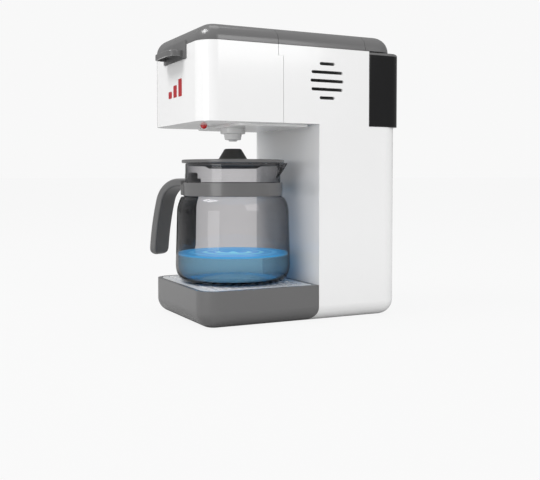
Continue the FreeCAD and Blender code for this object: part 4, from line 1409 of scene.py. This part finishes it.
@dataclass
class Water:
    """Water with ripples that spread from below the nozzle."""

    shop: Workshop
    form: JugForm
    level: float = 57.3 * MM
    gap: float = 0.2 * MM
    rings: int = 44
    ripple: float = 0.55 * MM
    spacing: float = 11.5 * MM
    fade: float = 26.0 * MM

    def build(self) -> None:
        """Turn the water's outline, with its surface in waves."""
        form = self.form
        inset = form.wall + self.gap
        floor = form.foot_z + form.foot_thick + self.gap
        reach = form.radius - inset - form.taper * 0.1
        outline = [(0.0, floor)]
        outline += [point for point in form.outline(inset, floor) if point[1] < self.level]
        outline.append((reach, self.level))
        for ring in range(1, self.rings + 1):
            at = reach * (1.0 - ring / self.rings)
            wave = math.cos(FULL_TURN * at / self.spacing) * math.exp(-at / self.fade)
            outline.append((at, self.level + self.ripple * wave))
        bm = turned(outline, form.centre, steps=128, closed=False)
        surface = form.centre + UP * self.level
        self.shop.piece("jug_water", bm, "jug", Slot.JUG, crease=60.0,
                        finish=BlueWater("toy_water", surface))


@dataclass
class Jug:
    """Smoked jug with its collar, handle, back plate, lid, knob and water."""

    shop: Workshop

    def build(self) -> None:
        """Build the pieces and blacken the screws behind the handle."""
        form = JugForm()
        for kind in (Glass, Collar, Handle, BackPlate, JugLid, Water):
            kind(self.shop, form).build()
        self.shop.dress("handle_screws", Slot.STEEL,
                        PlainMetal("blackened_steel", (0.03, 0.03, 0.03)))


# Printed mark

@dataclass
class StrengthMark:
    """Three rising red bars printed on the head's front, as a plain strength mark."""

    shop: Workshop
    left: float = -17.0 * MM
    width: float = 8.5 * MM
    pitch: float = 12.5 * MM
    low: float = 193.5 * MM
    heights: tuple[float, float, float] = (6.0 * MM, 10.5 * MM, 15.0 * MM)
    thick: float = 0.08 * MM
    corner: float = 0.9 * MM

    def build(self) -> None:
        """Build the bars just proud of the front face."""
        front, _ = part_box("brew_head_front")
        bm = bmesh.new()
        for step, height in enumerate(self.heights):
            left = self.left + self.pitch * step
            middle = Vector((left + self.width / 2.0, front.y - self.thick / 2.0,
                             self.low + height / 2.0))
            cuboid(bm, middle, Vector((self.width, self.thick, height)))
        across = [edge for edge in bm.edges
                  if abs((edge.verts[0].co - edge.verts[1].co).normalized().y) > 0.9]
        bevel(bm, across, self.corner, segments=4)
        self.shop.piece("strength_mark", bm, "machine", Slot.LENS, finish=MouldedPlastic(
            "red_ink", (0.42, 0.012, 0.018), gloss=0.35, mottle=0.06, peel=0.000004))


# Stage

@dataclass(frozen=True)
class Softbox:
    """One rectangular lamp that faces the object, in metres and watts."""

    name: str
    place: tuple[float, float, float]
    width: float
    height: float
    watts: float


@dataclass
class Studio:
    """Floor, lights and the camera at the photograph's viewing angle."""

    lamps: tuple[Softbox, ...] = (
        Softbox("key_softbox", (-0.1, -1.1, 1.6), 0.8, 0.6, 19.0),
        Softbox("front_softbox", (0.75, -1.5, 0.2), 0.7, 0.5, 3.5),
        Softbox("side_softbox", (1.7, 0.5, 0.9), 0.9, 0.9, 9.0),
        Softbox("top_softbox", (-0.2, 0.1, 1.7), 0.8, 0.8, 3.0))
    aim: tuple[float, float, float] = (0.0, 0.0, 125.0 * MM)
    camera_place: tuple[float, float, float] = (671.1 * MM, -338.9 * MM, 125.5 * MM)
    heading: float = 63.5
    pitch: float = 2.206
    lens: float = 54.338
    sensor: float = 36.0
    window_shift: float = -0.06
    floor_half: float = 60.0
    floor_gap: float = 0.2 * MM
    floor_seen: float = 0.97
    floor_keep: float = 0.93
    backdrop: float = 0.94
    ambient: float = 0.85
    mirrored: float = 0.28

    def build(self) -> None:
        """Set the stage."""
        self._floor()
        self._world()
        for box in self.lamps:
            self._lamp(box)
        self._camera()
        bpy.context.scene.view_settings.view_transform = "Standard"

    def _floor(self) -> None:
        """Wide pale floor a hair below the underside of the machine."""
        bm = bmesh.new()
        bmesh.ops.create_grid(bm, x_segments=1, y_segments=1, size=self.floor_half)
        mesh = bpy.data.meshes.new("floor")
        bm.to_mesh(mesh)
        bm.free()
        floor = bpy.data.objects.new("floor", mesh)
        floor.location.z = -self.floor_gap
        bpy.context.scene.collection.objects.link(floor)
        paint = StagePaint("floor_paint", self.floor_seen, self.floor_keep)
        mesh.materials.append(paint.material())

    def _world(self) -> None:
        """Even soft light, with a nearly white background for the camera and clear pieces."""
        shader = Shader(bpy.data.worlds.new("studio"), "ShaderNodeOutputWorld")
        glossy = shader.node("ShaderNodeLightPath", {}, {}).outputs["Is Glossy Ray"]
        lighting = shader.mixed(glossy, self._sky(shader, self.ambient),
                                self._sky(shader, self.mirrored))
        shader.finish(shader.mixed(seen_directly(shader), lighting,
                                   self._sky(shader, self.backdrop)))
        bpy.context.scene.world = shader.owner

    @staticmethod
    def _sky(shader: Shader, strength: float) -> bpy.types.Node:
        """An even white background of the given strength."""
        return shader.node("ShaderNodeBackground", {}, {
            "Color": (1.0, 1.0, 1.0, 1.0), "Strength": strength})

    def _lamp(self, box: Softbox) -> None:
        """Add one softbox, hidden from the camera.

        Args:
            box: Its name, place, size and power.
        """
        data = bpy.data.lights.new(box.name, "AREA")
        data.shape = "RECTANGLE"
        data.size, data.size_y, data.energy = box.width, box.height, box.watts
        lamp = bpy.data.objects.new(box.name, data)
        lamp.location = box.place
        ahead = Vector(self.aim) - Vector(box.place)
        lamp.rotation_euler = ahead.to_track_quat("-Z", "Y").to_euler()
        lamp.visible_camera = False
        lamp.visible_transmission = False
        bpy.context.scene.collection.objects.link(lamp)

    def _camera(self) -> None:
        """Camera fitted to the photograph's outlines."""
        data = bpy.data.cameras.new("photo_camera")
        data.lens, data.sensor_width = self.lens, self.sensor
        data.shift_y = self.window_shift
        camera = bpy.data.objects.new("photo_camera", data)
        camera.location = self.camera_place
        turn = (90.0 - self.pitch, 0.0, self.heading)
        camera.rotation_euler = tuple(math.radians(angle) for angle in turn)
        bpy.context.scene.collection.objects.link(camera)
        bpy.context.scene.camera = camera


def main() -> None:
    """Build the stage and every sub-assembly in order."""
    logging.basicConfig(level=logging.INFO, format="%(name)s: %(message)s")
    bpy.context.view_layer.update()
    Studio().build()
    shop = Workshop(Finishes())
    for kind in (Housing, Workings, Tank, Outlet, Jug, StrengthMark):
        log.info("building %s", kind.__name__)
        kind(shop).build()


if __name__ == "__main__":
    main()
